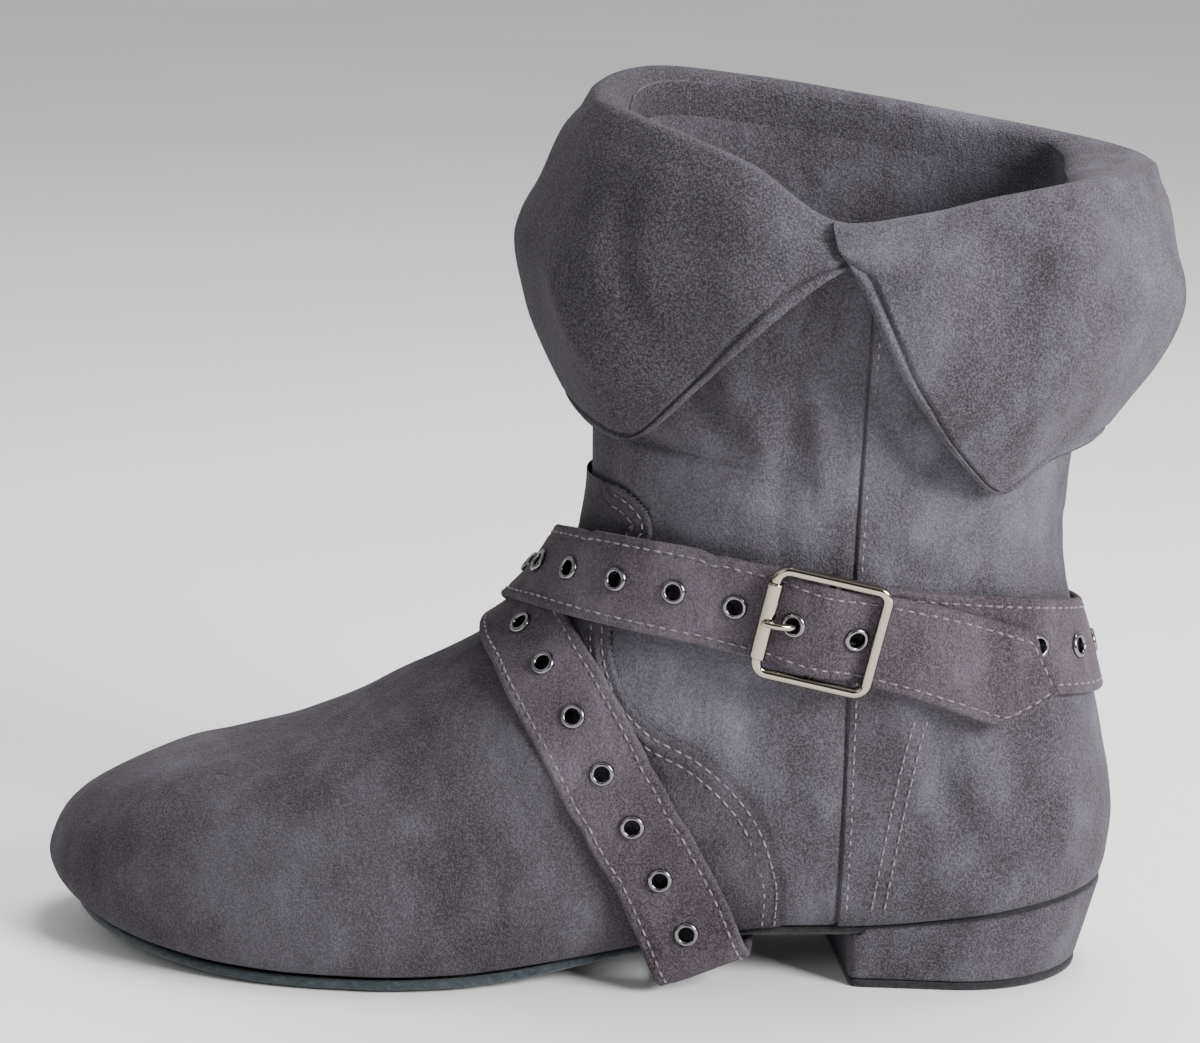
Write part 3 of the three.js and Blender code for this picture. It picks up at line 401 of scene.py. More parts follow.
def hash_wave(points, sizes, seed):
    """Soft uneven waves, the sum of sines with fixed directions, between about -1 and 1."""
    rng = np.random.default_rng(seed)
    total = np.zeros(points.shape[:-1])
    for size in sizes:
        for _ in range(4):
            heading = unit(rng.normal(size=3))
            total += np.sin(points @ heading * (2 * math.pi / size) + rng.uniform(0, 2 * math.pi))
    return total / (2.4 * len(sizes) ** 0.5 * 2 ** 0.5)


# Mesh making
def grid_faces(rows, columns, closed=False, start=0):
    """Quads of a grid of places, row by row."""
    ids = start + np.arange(rows * columns).reshape(rows, columns)
    if closed:
        ids = np.hstack([ids, ids[:, :1]])
    a, b, c, d = ids[:-1, :-1], ids[:-1, 1:], ids[1:, 1:], ids[1:, :-1]
    return np.stack([a, b, c, d], -1).reshape(-1, 4)


def sheet_of(grids):
    """Joins (places, closed) grids into one list of places and faces."""
    places, faces, start = [], [], 0
    for grid, closed in grids:
        rows, columns = grid.shape[:2]
        places.append(grid.reshape(-1, 3))
        faces.append(grid_faces(rows, columns, closed, start))
        start += rows * columns
    return np.concatenate(places), np.concatenate(faces)


def new_object(name, data):
    thing = bpy.data.objects.new(name, data)
    bpy.context.scene.collection.objects.link(thing)
    return thing


def piece(name, sheet, cover, nodes, weld=0.02):
    """A smooth mesh piece from a sheet of boot millimetres, in the material cover. It stands for
    CAD nodes and rides on the boot."""
    places, faces = sheet
    mesh = bpy.data.meshes.new(name)
    mesh.from_pydata(place(places).tolist(), [], np.asarray(faces).tolist())
    shape = bmesh.new()
    shape.from_mesh(mesh)
    bmesh.ops.remove_doubles(shape, verts=shape.verts, dist=weld / 1000)
    bmesh.ops.recalc_face_normals(shape, faces=shape.faces)
    shape.to_mesh(mesh)
    shape.free()
    mesh.shade_smooth()
    mesh.materials.append(cover)
    thing = new_object(name, mesh)
    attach(thing, "root")
    if nodes:
        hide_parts(*nodes)


def tube(route, radius, sides, closed=False, flat=1.0, square=1.0):
    """A round bar along a route; flat presses it across its second direction, and a square below 1
    fills its section out towards a rounded square."""
    route = np.asarray(route, float)
    after, before = np.roll(route, -1, 0), np.roll(route, 1, 0)
    if not closed:
        after[-1], before[0] = route[-1], route[0]
    along = unit(after - before)
    aside = np.zeros_like(along)
    lead = np.array([0.0, 0.0, 1.0]) if abs(along[0][2]) < 0.9 else np.array([0.0, 1.0, 0.0])
    for i, direction in enumerate(along):
        lead = lead - direction * (lead @ direction)
        lead /= np.linalg.norm(lead)
        aside[i] = lead
    over = np.cross(along, aside)
    angles = circle(sides)
    radius = np.broadcast_to(radius, len(route))[:, None, None]
    first, second = (np.sign(x) * np.abs(x) ** square for x in (np.cos(angles), np.sin(angles)))
    ring = first[None, :, None] * aside[:, None] * flat + second[None, :, None] * over[:, None]
    grid = route[:, None] + ring * radius
    if closed:
        grid = np.concatenate([grid, grid[:1]])
    else:
        ends = [np.repeat(route[k][None, None], sides, 1) for k in (0, -1)]
        grid = np.concatenate([ends[0], grid, ends[1]])
    return grid, True


# Materials
def linear(colour):
    """An sRGB hex colour as linear RGBA."""
    channels = [int(colour[i : i + 2], 16) / 255 for i in (1, 3, 5)]
    return (*[c / 12.92 if c <= 0.04045 else ((c + 0.055) / 1.055) ** 2.4 for c in channels], 1.0)


def node(tree, kind, links=None, choices=None, **inputs):
    """Adds a shader node with its own choices, its input values and the sources linked to it."""
    made = tree.nodes.new(kind)
    for key, value in (choices or {}).items():
        setattr(made, key, value)
    for key, value in inputs.items():
        made.inputs[key.replace("_", " ")].default_value = value
    for key, source in (links or {}).items():
        tree.links.new(source, made.inputs[key])
    return made


def new_material(name):
    """An empty material, its tree and the places that its patterns are laid out by."""
    material = bpy.data.materials.new(name)
    material.use_nodes = True
    tree = material.node_tree
    tree.nodes.clear()
    return material, tree, node(tree, "ShaderNodeTexCoord").outputs["Object"]


def principled(tree, links, **inputs):
    """Ends a material's tree in one Principled shader."""
    shader = node(tree, "ShaderNodeBsdfPrincipled", links, **inputs)
    node(tree, "ShaderNodeOutputMaterial", {"Surface": shader.outputs[0]})


def noise(tree, where, size_mm, detail=3.0, roughness=0.55):
    """Noise whose largest lumps are size_mm across."""
    made = node(
        tree,
        "ShaderNodeTexNoise",
        {"Vector": where},
        Scale=1000 / size_mm,
        Detail=detail,
        Roughness=roughness,
    )
    return made.outputs["Fac"]


def axis(tree, where, letter):
    return node(tree, "ShaderNodeSeparateXYZ", {"Vector": where}).outputs[letter]


def ranged(tree, value, **span):
    """Carries a value from one span of numbers to another, by default to 0 to 1."""
    return node(tree, "ShaderNodeMapRange", {"Value": value}, **span).outputs[0]


def relief(tree, height, strength, depth_mm, under=None):
    """Bumps of a depth, over those of an earlier relief."""
    links = {"Height": height, "Normal": under} if under else {"Height": height}
    made = node(tree, "ShaderNodeBump", links, Strength=strength, Distance=depth_mm / 1000)
    return made.outputs[0]


def ramp(tree, source, stops):
    """Maps a 0 to 1 value through (place, hex colour) stops."""
    made = node(tree, "ShaderNodeValToRGB", {"Fac": source})
    band = made.color_ramp
    while len(band.elements) < len(stops):
        band.elements.new(0.5)
    for element, (at, colour) in zip(band.elements, stops):
        element.position = at
        element.color = linear(colour)
    return made.outputs["Color"]


def blend(tree, share, a, b, mode="MIX"):
    made = node(tree, "ShaderNodeMix", choices={"data_type": "RGBA", "blend_type": mode})
    for socket, value in ((made.inputs[0], share), (made.inputs[6], a), (made.inputs[7], b)):
        if isinstance(value, bpy.types.NodeSocket):
            tree.links.new(value, socket)
        else:
            socket.default_value = value
    return made.outputs[2]


def microsuede(name, dark, mid, light, nap=1.0, shaded=None):
    """Microsuede, a sueded knit: no shine, and its nap lies light where it was brushed one way and
    dark the other, in patches 9 and 38 mm wide over tufts of 0.5 mm. Between the two X of
    shaded, in metres, the colour is painted darker toward the second: painted shade."""
    material, tree, where = new_material(name)
    brushed = node(
        tree, "ShaderNodeMapping", {"Vector": where}, Rotation=(0.3, 0.6, 0.2), Scale=(1, 1, 0.55)
    ).outputs["Vector"]
    patches = noise(tree, brushed, 38, 3, 0.55)
    strokes = noise(tree, brushed, 9, 3, 0.6)
    tufts = noise(tree, where, 0.5, 2, 0.65)
    body = ramp(tree, patches, ((0.36, dark), (0.5, mid), (0.64, light)))
    streaked = ramp(tree, strokes, ((0.3, dark), (0.5, mid), (0.7, light)))
    grained = ramp(tree, tufts, ((0.38, dark), (0.5, mid), (0.62, light)))
    colour = blend(tree, 0.45, body, streaked)
    # Painted shade: between the two X the colour is blended toward the dark tone
    if shaded:
        front = ranged(tree, axis(tree, where, "X"), From_Min=shaded[0], From_Max=shaded[1])
        colour = blend(tree, front, colour, linear(dark))
    colour = blend(tree, 0.42 * nap, colour, grained)
    fuzz = relief(tree, tufts, nap, 0.4)
    principled(
        tree,
        {"Base Color": colour, "Normal": relief(tree, strokes, 0.8, 1.2, fuzz)},
        Roughness=0.95,
        Specular_IOR_Level=0.1,
        Sheen_Weight=0.1,
        Sheen_Roughness=0.45,
        Sheen_Tint=linear("#cfc8d2"),
    )
    return material


def sole_split(name, dark, mid, light):
    """Chrome split leather, buffed to a fibrous nap: coarse loose fibres about 1.6 mm long, dead
    matt. Toward the rear its colour is painted near black, a painted shadow at the heel."""
    material, tree, where = new_material(name)
    fibres = node(
        tree, "ShaderNodeMapping", {"Vector": where}, Rotation=(0.1, 0.3, 0.6), Scale=(1, 2.2, 1.4)
    ).outputs["Vector"]
    hair = noise(tree, fibres, 1.6, 5, 0.75)
    patches = noise(tree, where, 14, 3, 0.6)
    colour = ramp(tree, hair, ((0.28, dark), (0.5, mid), (0.76, light)))
    colour = blend(tree, 0.3, colour, ramp(tree, patches, ((0.3, dark), (0.7, mid))))
    # Painted shadow: toward the heel the colour is blended to near black
    rear = ranged(tree, axis(tree, where, "X"), From_Min=0.0, From_Max=0.05)
    colour = blend(tree, rear, colour, ramp(tree, hair, ((0.3, "#1b1a1c"), (0.75, "#39373b"))))
    principled(
        tree,
        {"Base Color": colour, "Normal": relief(tree, hair, 0.8, 0.5)},
        Roughness=1.0,
        Specular_IOR_Level=0.1,
        Sheen_Weight=0.2,
    )
    return material


def plated(name, colour, roughness, cloud=0.05):
    """Nickel plate over a die-cast or drawn part: mirror bright, with faint polishing waves."""
    material, tree, where = new_material(name)
    waves = noise(tree, where, 5, 2, 0.5)
    polish = ranged(tree, waves, To_Min=roughness - cloud / 2, To_Max=roughness + cloud)
    principled(
        tree,
        {"Roughness": polish, "Normal": relief(tree, waves, 0.12, 0.4)},
        Base_Color=linear(colour),
        Metallic=1.0,
    )
    return material


def sewing_thread(name, colour, shade):
    """Spun polyester thread: plies about 1 mm apart, their light and shade painted into the colour as
    soft bands.
    """
    material, tree, where = new_material(name)
    lie = {"bands_direction": "DIAGONAL"}
    plies = node(tree, "ShaderNodeTexWave", {"Vector": where}, lie, Scale=1000 / 3.0, Distortion=1.0)
    # Painted light and shade of the plies: bands from the shade colour to the thread colour
    colour = ramp(tree, plies.outputs["Fac"], ((0.2, shade), (0.7, colour)))
    principled(tree, {"Base Color": colour}, Roughness=0.7, Sheen_Weight=0.3)
    return material


def colour_setting(name, description, default):
    return bpy.props.StringProperty(name=name, description=description, default=default)


class BootSettings(bpy.types.PropertyGroup):
    """Colours and amounts that a user would change."""

    suede_dark: colour_setting("Suede shade", "Nap brushed dark", "#2c292c")
    suede_mid: colour_setting("Suede", "Body colour", "#4b474d")
    suede_light: colour_setting("Suede light", "Nap brushed light", "#6b6872")
    # Vamp tones: the suede's, painted darker as painted shade on the front of the boot
    vamp_dark: colour_setting("Vamp shade", "Nap brushed dark", "#292528")
    vamp_mid: colour_setting("Vamp", "Body colour", "#423e43")
    vamp_light: colour_setting("Vamp light", "Nap brushed light", "#5e5b63")
    strap_dark: colour_setting("Strap shade", "Nap brushed dark", "#262124")
    strap_mid: colour_setting("Strap", "Body colour", "#4a4348")
    strap_light: colour_setting("Strap light", "Nap brushed light", "#69616a")
    thread: colour_setting("Thread", "Sewing thread", "#7a7178")
    nickel: colour_setting("Buckle plate", "Nickel plate", "#a8a092")
    gunmetal: colour_setting("Eyelet plate", "Dark nickel plate", "#7f7c80")
    crease: bpy.props.FloatProperty(
        name="Creases", description="How deep the creases are", default=2.0, min=0, soft_max=2
    )
    stitch: bpy.props.FloatProperty(
        name="Stitch length",
        description="From one needle hole to the next",
        default=0.0028,
        subtype="DISTANCE",
        unit="LENGTH",
    )


def settings():
    return bpy.context.scene.boot


def shared(build, name, *looks, **more):
    """A material that several pieces wear, built for the first of them."""
    return bpy.data.materials.get(name) or build(name, *looks, **more)


def suede(part="suede", name="Microsuede, brushed", **more):
    """Microsuede in the three tones that the settings hold for a part."""
    tones = [getattr(settings(), f"{part}_{tone}") for tone in ("dark", "mid", "light")]
    return shared(microsuede, name, *tones, **more)


# The cuff's front is painted darker, a painted shade
def cuff_suede():
    return suede(name="Microsuede, cuff", shaded=(0.085, 0.015))


# The vamp wears the suede painted darker, a painted shade
def vamp_suede_in_painted_shade():
    return suede("vamp", "Microsuede, vamp")


def strap_suede():
    return suede("strap", "Microsuede, folded strap")


def thread():
    return shared(sewing_thread, "Polyester thread, spun", settings().thread, "#57505a")


# Its rear, on the sole and the top lift, is painted dark: a painted shadow at the heel
def split_leather():
    return shared(sole_split, "Chrome split leather, buffed", "#22272b", "#3a4145", "#5a6265")


def nickel():
    return shared(plated, "Nickel plate, polished", settings().nickel, 0.08)


def gunmetal():
    return shared(plated, "Dark nickel plate, satin", settings().gunmetal, 0.2)


def row_over(turn, level, lift, share=1.0):
    """Places and normals of a row at a lift over the form and over a share of its creases."""
    base, over = form(turn, level), slopes(turn, level)[2]
    return base + over * (lift + share * crease_height(base))[:, None], over


def stitches(name, runs):
    """Thread lying in short bowed bars along runs of (places, normals), one bar a stitch."""
    pitch = settings().stitch * 1000
    bars = []
    # Each bar's stations: share of its half length, of the thread's radius, and height
    shares = np.array([-1, -0.8, -0.35, 0.35, 0.8, 1.0])
    swell = np.array([0.35, 0.8, 1, 1, 0.8, 0.35])
    sinks = np.array([-0.45, -0.1, 0.12, 0.12, -0.1, -0.45])
    for route, normals in runs:
        reach = lengths(route)
        count = max(1, int(round(reach[-1] / pitch)))
        ats = (np.arange(count) + 0.5) * reach[-1] / count
        middle = read_at(ats, reach, route)
        along = unit(read_at(ats + 0.4, reach, route) - read_at(ats - 0.4, reach, route))
        over = unit(read_at(ats, reach, normals))
        half = 0.37 * reach[-1] / count
        for k in range(count):
            spine = middle[k] + along[k] * (shares * half)[:, None] + over[k] * sinks[:, None]
            bars.append(tube(spine, THREAD_RADIUS * swell, 6))
    piece(name, sheet_of(bars), thread(), (), 0.001)


# Outer seam: its turn, and the step behind it where the quarter lies over the front
SEAM_TURN = 1.004
STEP_START, STEP_FADE = 1.01, 0.49
STEP_HEIGHT = 0.6


def step_fade(turn):
    """The seam's step dies away toward the heel back."""
    return np.clip(1 - (turn - STEP_START) / STEP_FADE, 0, 1)


class BOOT_OT_shaft(bpy.types.Operator):
    """Upper and shaft: the soft wall with its creases, outer seam and inside"""

    bl_idname = "boot.shaft"
    bl_label = "Upper and shaft"

    def execute(self, context):
        near = np.linspace(-1, 1, 25)
        seam = 1.008 + 0.035 * np.sign(near) * np.abs(near) ** 1.6
        rest = np.concatenate([np.linspace(0, 0.972, 96), np.linspace(1.044, 4, 190)[:-1]])
        turns = np.sort(np.concatenate([rest, seam]))
        levels = joined((0, 1, 130), (1, 2, 92))
        turn, level = np.meshgrid(turns, levels)
        base = form(turn, level)
        normal = slopes(turn, level)[2]
        step = np.clip((turn - SEAM_TURN) / 0.006, 0, 1) * step_fade(turn)
        step = np.where(turn < 1.5, step, 0)
        groove = -0.7 * hill(turn, SEAM_TURN, 0.004)
        ridge = 0.35 * hill(turn, 0.975, 0.02)
        height = STEP_HEIGHT * smooth_step(step) + groove + ridge
        height = height + crease_height(base)
        height = height + 0.25 * hash_wave(base, (34, 19), 4) * smooth_step(level / 0.2)
        # Under the vamp the wall stays flat
        covered = smooth_step((turn - 0.9) / 0.1) * smooth_step((3.1 - turn) / 0.1)
        height = np.where(level > 1.25, height, height * (0.35 + 0.65 * covered))
        outer = base + normal * height[..., None]
        inner_turns = np.linspace(0, 4, 161)[:-1]
        inner_levels = joined((0, 1, 45), (1, 2, 60))
        turn, level = np.meshgrid(inner_turns, inner_levels)
        inner = inside(turn, level, 0.0)
        sheet = sheet_of([(outer, True), (inner, True)])
        piece("shaft_and_quarters", sheet, suede(), ["upper"])
        self.sew()
        return {"FINISHED"}

    def sew(self):
        """Two rows down the counter, and one up beside the seam."""
        runs = []
        for aside in (0.0, 3.0):
            share = np.linspace(0, 1, 60)
            fore = mix(40.5, 49.5, share**0.8) + aside
            up = mix(68.5, 21, share)
            turns, levels = on_form(fore, up, -1)
            runs.append(row_over(turns, levels, STEP_HEIGHT * step_fade(turns) + 0.12))
        runs.append(row_over(1.024, np.linspace(0.06, 1.8, 300), 0.45))
        stitches("counter_and_seam_stitching", runs)


def on_form(fore, up, side):
    """Turn and level of places seen from the side at (fore, up), side -1 outer or 1 inner."""
    fore, up = np.broadcast_arrays(np.asarray(fore, float), np.asarray(up, float))
    level = np.clip(up / INSTEP_HEIGHT, 0, 2)
    away = np.ones(fore.shape)
    for _ in range(40):
        turn = away if side < 0 else 4 - away
        there = form(turn, level)
        front, back = profile(level)
        seam = seam_line(level) * FOOT_LENGTH
        ahead = np.clip((fore - seam) / (front * FOOT_LENGTH - seam), 0, 1)
        behind = np.clip((seam - fore) / (seam - back * FOOT_LENGTH), 0, 1)
        front_away, back_away = np.arccos(ahead) * 2 / math.pi, 1 + np.arcsin(behind) * 2 / math.pi
        away = np.where(fore >= seam, front_away, back_away)
        level = np.clip(level + (up - there[..., 2]) / INSTEP_HEIGHT, 0, 2)
    return (away if side < 0 else 4 - away), level


# Rear edge of the vamp layer: up as a share of the instep height, fore as a share of the length
vamp_edge = table(
    (-0.2, 0.285),
    (0.15, 0.285),
    (0.24, 0.283),
    (0.33, 0.29),
    (0.42, 0.305),
    (0.5, 0.33),
    (0.57, 0.366),
    (0.62, 0.405),
    (0.7, 0.435),
    (0.8, 0.446),
    (0.92, 0.437),
    (1.0, 0.421),
    (1.04, 0.41),
    (1.065, 0.411),
    (1.09, 0.4155),
    (1.112, 0.425),
    (1.13, 0.439),
    (1.139, 0.46),
    (1.142, 0.5),
)
VAMP_FOOT, VAMP_TOP = 0.014, 1.142
VAMP_ROWS = (2.3, 5.2)


def vamp_turn(level):
    """How far round to each side the vamp reaches at a level."""
    low, high = np.zeros_like(level), np.ones_like(level)
    for _ in range(30):
        middle = (low + high) / 2
        there = form(middle, level)
        within = there[..., 0] > vamp_edge(there[..., 2] / INSTEP_HEIGHT) * FOOT_LENGTH
        low, high = np.where(within, middle, low), np.where(within, high, middle)
    return low


class BOOT_OT_vamp(bpy.types.Operator):
    """Vamp: the layer over toe and instep with its sewn rear edge and tab"""

    bl_idname = "boot.vamp"
    bl_label = "Vamp"

    def execute(self, context):
        top = VAMP_TOP * INSTEP_HEIGHT
        crest = 1 + (top - INSTEP_HEIGHT - 0.35) / (rim_line(0.0) * RIM_HEIGHT - INSTEP_HEIGHT)
        levels = joined((VAMP_FOOT, 0.95, 150), (0.95, crest, 60))
        shares = joined((-1, -0.9, 14), (-0.9, 0.9, 150), (0.9, 1, 14))
        turn_edge = vamp_turn(levels)
        turn, level = turn_edge[:, None] * shares[None], np.repeat(levels[:, None], len(shares), 1)
        base = form(turn, level)
        normal = slopes(turn, level)[2]
        edge = np.stack([form(turn_edge, levels), form(-turn_edge, levels)])
        away = np.full(level.shape, 1e9)
        for line in edge:
            for at in line[::2]:
                away = np.minimum(away, np.linalg.norm(base - at, axis=-1))
        sewn = -0.28 * (hill(away, VAMP_ROWS[0], 0.7) + hill(away, VAMP_ROWS[1], 0.7))
        puff = 0.35 * hill(away, 3.8, 1.0)
        height = (GAP + VAMP_THICKNESS) * round_edge(away, 0.9)
        height = height + (sewn + puff) * smooth_step(level / 0.1)
        free = smooth_step(away / 12)
        height = height + free * crease_height(base)
        height = height + 0.22 * free * hash_wave(base, (40, 22), 6) * smooth_step(level / 0.15)
        outer = base + normal * np.maximum(0.02, height)[..., None]
        piece("vamp_and_tab", sheet_of([(outer, False)]), vamp_suede_in_painted_shade(), ["vamp"])
        self.sew(levels, turn_edge)
        return {"FINISHED"}

    def sew(self, levels, turn_edge):
        """Two rows along the rear edge of each side, that stop short of the middle and the sole."""
        runs = []
        levels, turn_edge = levels[::2], turn_edge[::2]
        for way in (1, -1):
            line, over = form(way * turn_edge, levels), slopes(way * turn_edge, levels)[2]
            ahead = unit(np.cross(unit(np.gradient(line, axis=0)), over))
            if (ahead[:, 0] > 0).mean() < 0.5:
                ahead = -ahead
            for inset in VAMP_ROWS:
                row = line + ahead * inset
                row = row[(row[:, 1] * -way > 4.5) & (row[:, 2] > feather(row[:, 0]) + 1)]
                turns, heights = on_form(row[:, 0], row[:, 2], -way)
                lift = GAP + VAMP_THICKNESS - 0.1
                runs.append(row_over(turns, heights, lift, smooth_step(inset / 12)))
        stitches("vamp_stitching", runs)


# Cuff: share of its fall, share of its flare
cuff_fall = table(
    (0, 0.11), (0.1, 0.42), (0.28, 0.72), (0.39, 0.93), (0.47, 1), (0.68, 0.84), (0.85, 0.58), (1, 0.3)
)
# Round the boot: turn, depth and flare as shares
cuff_line = table(
    (0, 1, 1),
    (0.4, 1, 0.9),
    (0.93, 0.7, 0.7),
    (1.4, 0.97, 0.75),
    (1.6, 0.87, 0.76),
    (2, 0.85, 0.78),
    (3, 0.94, 0.75),
    (4, 1, 1),
)
# Turns of the two flap edges down the fall
flap_edges = table(
    (0, 0.93, 0.905),
    (0.05, 0.944, 0.92),
    (0.11, 0.938, 0.943),
    (0.2, 0.894, 0.968),
    (0.32, 0.85, 0.998),
    (0.45, 0.809, 1.034),
    (0.58, 0.766, 1.074),
    (0.7, 0.714, 1.13),
    (0.8, 0.65, 1.19),
    (0.91, 0.56, 1.3),
    (0.975, 0.478, 1.395),
    (1, 0.4, 1.47),
)
# Waves of the hanging cuff: turn, half width in turns, share of the fall at the middle, half
# length as a share, height in millimetres
CUFF_WAVES = (
    (0.15, 0.14, 0.55, 0.45, -1.6),
    (0.42, 0.12, 0.75, 0.3, 1.2),
    (0.62, 0.1, 0.35, 0.3, -1.1),
    (3.86, 0.12, 0.6, 0.4, 1.0),
    (1.32, 0.1, 0.3, 0.22, -1.3),
    (1.5, 0.12, 0.16, 0.12, 1.4),
    (1.62, 0.1, 0.34, 0.2, -1.4),
    (1.85, 0.1, 0.6, 0.3, 1.2),
    (2.1, 0.12, 0.5, 0.4, -1.2),
    (2.5, 0.16, 0.6, 0.4, 1.4),
    (2.85, 0.13, 0.5, 0.4, -1.5),
    (3.2, 0.14, 0.6, 0.4, 1.3),
    (3.5, 0.12, 0.5, 0.4, -1.2),
)

# The loose back of the rim is drawn in to a fold that runs straight across the boot at this fore
BACK_FOLD = 13.0
# How far the rest of the roll lies inward round the boot
roll_bunch = table(
    (0, 4.5), (0.35, 2.5), (0.8, 0.6), (1.5, 1), (2, 1), (2.6, 1.5), (3, 1.2), (3.5, 1.5), (4, 4.5)
)
# The roll's start on the shaft's inside: up from the rim, further in
ROLL_START = ((-13, -0.6), (-10.5, -0.35), (-8, 0.05), (-5.5, 0.25), (-3.5, 0.35), (-1.8, 0.2))
# Across a flap's edge from its outside to its inside: share of the way, depth of the groove
FLAP_EDGE = (
    (0, 0),
    (0.12, -0.35),
    (0.3, -0.35),
    (0.42, 0),
    (0.5, 1.2),
    (0.58, 0),
    (0.7, -0.35),
    (0.88, -0.35),
    (1, 0),
)


def drawn_in(points, share):
    """Places behind the back fold, drawn forward to it by a share of the way."""
    ahead = np.logaddexp(0, (BACK_FOLD - points[..., 0]) / 2.4) * 2.4
    ahead = ahead + 1.0 * smooth_step(ahead / 8) * hash_wave(points, (31, 22), 31)
    return points + (share * ahead)[..., None] * np.array([1, 0, 0])


def inside(turn, level, further):
    """Inside of the shaft with its loose folds, and further in by some millimetres."""
    base = form(turn, level)
    high = smooth_step((level - 1.05) / 0.35) * (1 - 0.7 * smooth_step((level - 1.8) / 0.2))
    folds = 2.2 * high * (1 + hash_wave(base * [1, 1, 0.3], (52, 27), 9))
    depth = WALL + 0.9 + further + np.maximum(0, folds)
    depth = depth + (roll_bunch(np.mod(turn, 4)) - 0.6) * smooth_step((level - 1.55) / 0.4)
    walls = base - slopes(turn, level)[2] * depth[..., None]
    return drawn_in(walls, 0.96 * smooth_step((level - 1.4) / 0.5))


def cuff_wave(turn, down):
    """Height of the hanging cuff's waves."""
    total = np.zeros(np.broadcast(turn, down).shape)
    for at, width, middle, length, height in CUFF_WAVES:
        round_ = (turn - at + 2) % 4 - 2
        total += height * np.exp(-((round_ / width) ** 2) - ((down - middle) / length) ** 2)
    return total


class BOOT_OT_cuff(bpy.types.Operator):
    """Cuff: the turned-down end of the shaft with its roll and two flaps"""

    bl_idname = "boot.cuff"
    bl_label = "Fold-over cuff"

    def execute(self, context):
        edge = np.linspace(0, 0.02, 24)
        share = np.concatenate([edge, np.linspace(0.02, 0.98, 300)[1:-1], 1 - edge[::-1]])
        rows = self.roll_inside(share)
        # The roll's outer rows: out from the rim, up over it
        for out, up in ((0.3, 1), (1.5, 0.93), (2.7, 0.68)):
            rows.append(self.line(share, out, up * ROLL_HEIGHT))
        roll = len(rows)
        falls = 0.03 + 0.97 * (1 - (1 - np.linspace(0, 1, 76)) ** 1.4)
        outer = [self.hang(share, down, 0) for down in falls]
        inner = [self.hang(share, down, CUFF_THICKNESS) for down in falls[::-1]]
        middle = (outer[-1] + inner[0]) / 2
        # Round the hem, with a groove between its two layers
        tip = [
            mix(outer[-1], middle, 0.45) + [0, 0, -0.6],
            mix(outer[-1], middle, 0.8) + [0, 0, -0.2],
            middle + [0, 0, 1.0],
            mix(inner[0], middle, 0.8) + [0, 0, -0.2],
            mix(inner[0], middle, 0.45) + [0, 0, -0.6],
        ]
        rows = rows + outer + tip + inner
        grid = np.array(rows)
        ends = []
        for column, way in ((0, 1), (-1, -1)):
            back = unit(grid[:, column + way * 5] - grid[:, column])
            ends.append(self.close_end(grid[:, column], back, roll, len(falls)))
        sheet = sheet_of([(grid, False)] + ends)
        piece("fold_over_cuff", sheet, cuff_suede(), ["cuff"], 0.05)
        return {"FINISHED"}

    def turns(self, share, down):
        """Turns from the front flap's edge the long way round, by the toe, to the rear one's."""
        front, rear = flap_edges(down)
        return mix(front, rear - 4, share)

    def roll_inside(self, share):
        """The roll from its end on the shaft's inside up to its top."""
        turn = self.turns(share, 0.0)
        rise = rim_line(np.mod(turn, 4)) * RIM_HEIGHT - INSTEP_HEIGHT
        rows = []
        for up, further in ROLL_START:
            rows.append(inside(turn, 2 + up / rise, further))
        low, top = rows[-1], self.line(share, 0.3, ROLL_HEIGHT)
        for degrees in (12, 26, 42, 60, 76):
            angle = math.radians(degrees)
            inward = 1 - math.cos(angle)
            rows.append(low + (top - low) * [inward, inward, math.sin(angle)])
        return rows

    def line(self, share, out, up):
        """A row of the roll, out from the rim and up over it."""
        turn = self.turns(share, 0.0)
        over = unit(slopes(turn, 2.0)[2] * [1, 1, 0])
        return form(turn, 2.0) + over * (out + self.lap(share, 0.0))[:, None] + [0, 0, up]

    def lap(self, share, down):
        """The rear flap lies over the front one where they meet."""
        return 2.3 * smooth_step((share - 0.955) / 0.035) * (1 - smooth_step((down - 0.09) / 0.1))

    def hang(self, share, down, inward):
        """A row of the hanging cuff, on its outside or, with inward set, on its inside."""
        turn = self.turns(share, down)
        depth, flare = cuff_line(np.mod(turn, 4))
        rise = rim_line(np.mod(turn, 4)) * RIM_HEIGHT - INSTEP_HEIGHT
        level = 2 - down * depth * CUFF_DEPTH / rise
        out = cuff_fall(down) * flare * CUFF_FLARE + 0.5 * CUFF_THICKNESS
        over = unit(slopes(turn, level)[2] * [1, 1, 0])
        base = form(turn, level)
        free = smooth_step(down / 0.12)
        wave = settings().crease * cuff_wave(turn, down) * free
        wave = wave + crease_height(base, CUFF_CREASES) * free
        wave = wave + 0.35 * hash_wave(base, (30, 17), 12) * free
        # Both flap edges and the hem are bagged out, so they are fuller than the seam beside them
        edge = np.minimum(share, 1 - share) * 330 + 40 * np.clip(0.15 - down, 0, 1)
        hem = (1 - down) * depth * CUFF_DEPTH
        near = np.minimum(edge, hem)
        rolled = 0.35 * CUFF_THICKNESS * (1 - round_edge(near, 1.6))
        pressed = 1.15 * hill(near, 2.3, 0.6)
        if inward:
            out = np.maximum(0.8, out - inward + rolled)
        else:
            out = out - rolled - pressed
        return base + over * (out + wave + self.lap(share, down))[:, None]

    def close_end(self, line, back, roll, falls):
        """Closes a flap's edge between its outside and inside: two folded layers, a groove between."""
        outer, inner = line[roll : roll + falls], line[-falls:][::-1]
        back = back[roll : roll + falls]
        columns = [mix(outer, inner, share) + back * depth for share, depth in FLAP_EDGE]
        return np.stack(columns, 1), False


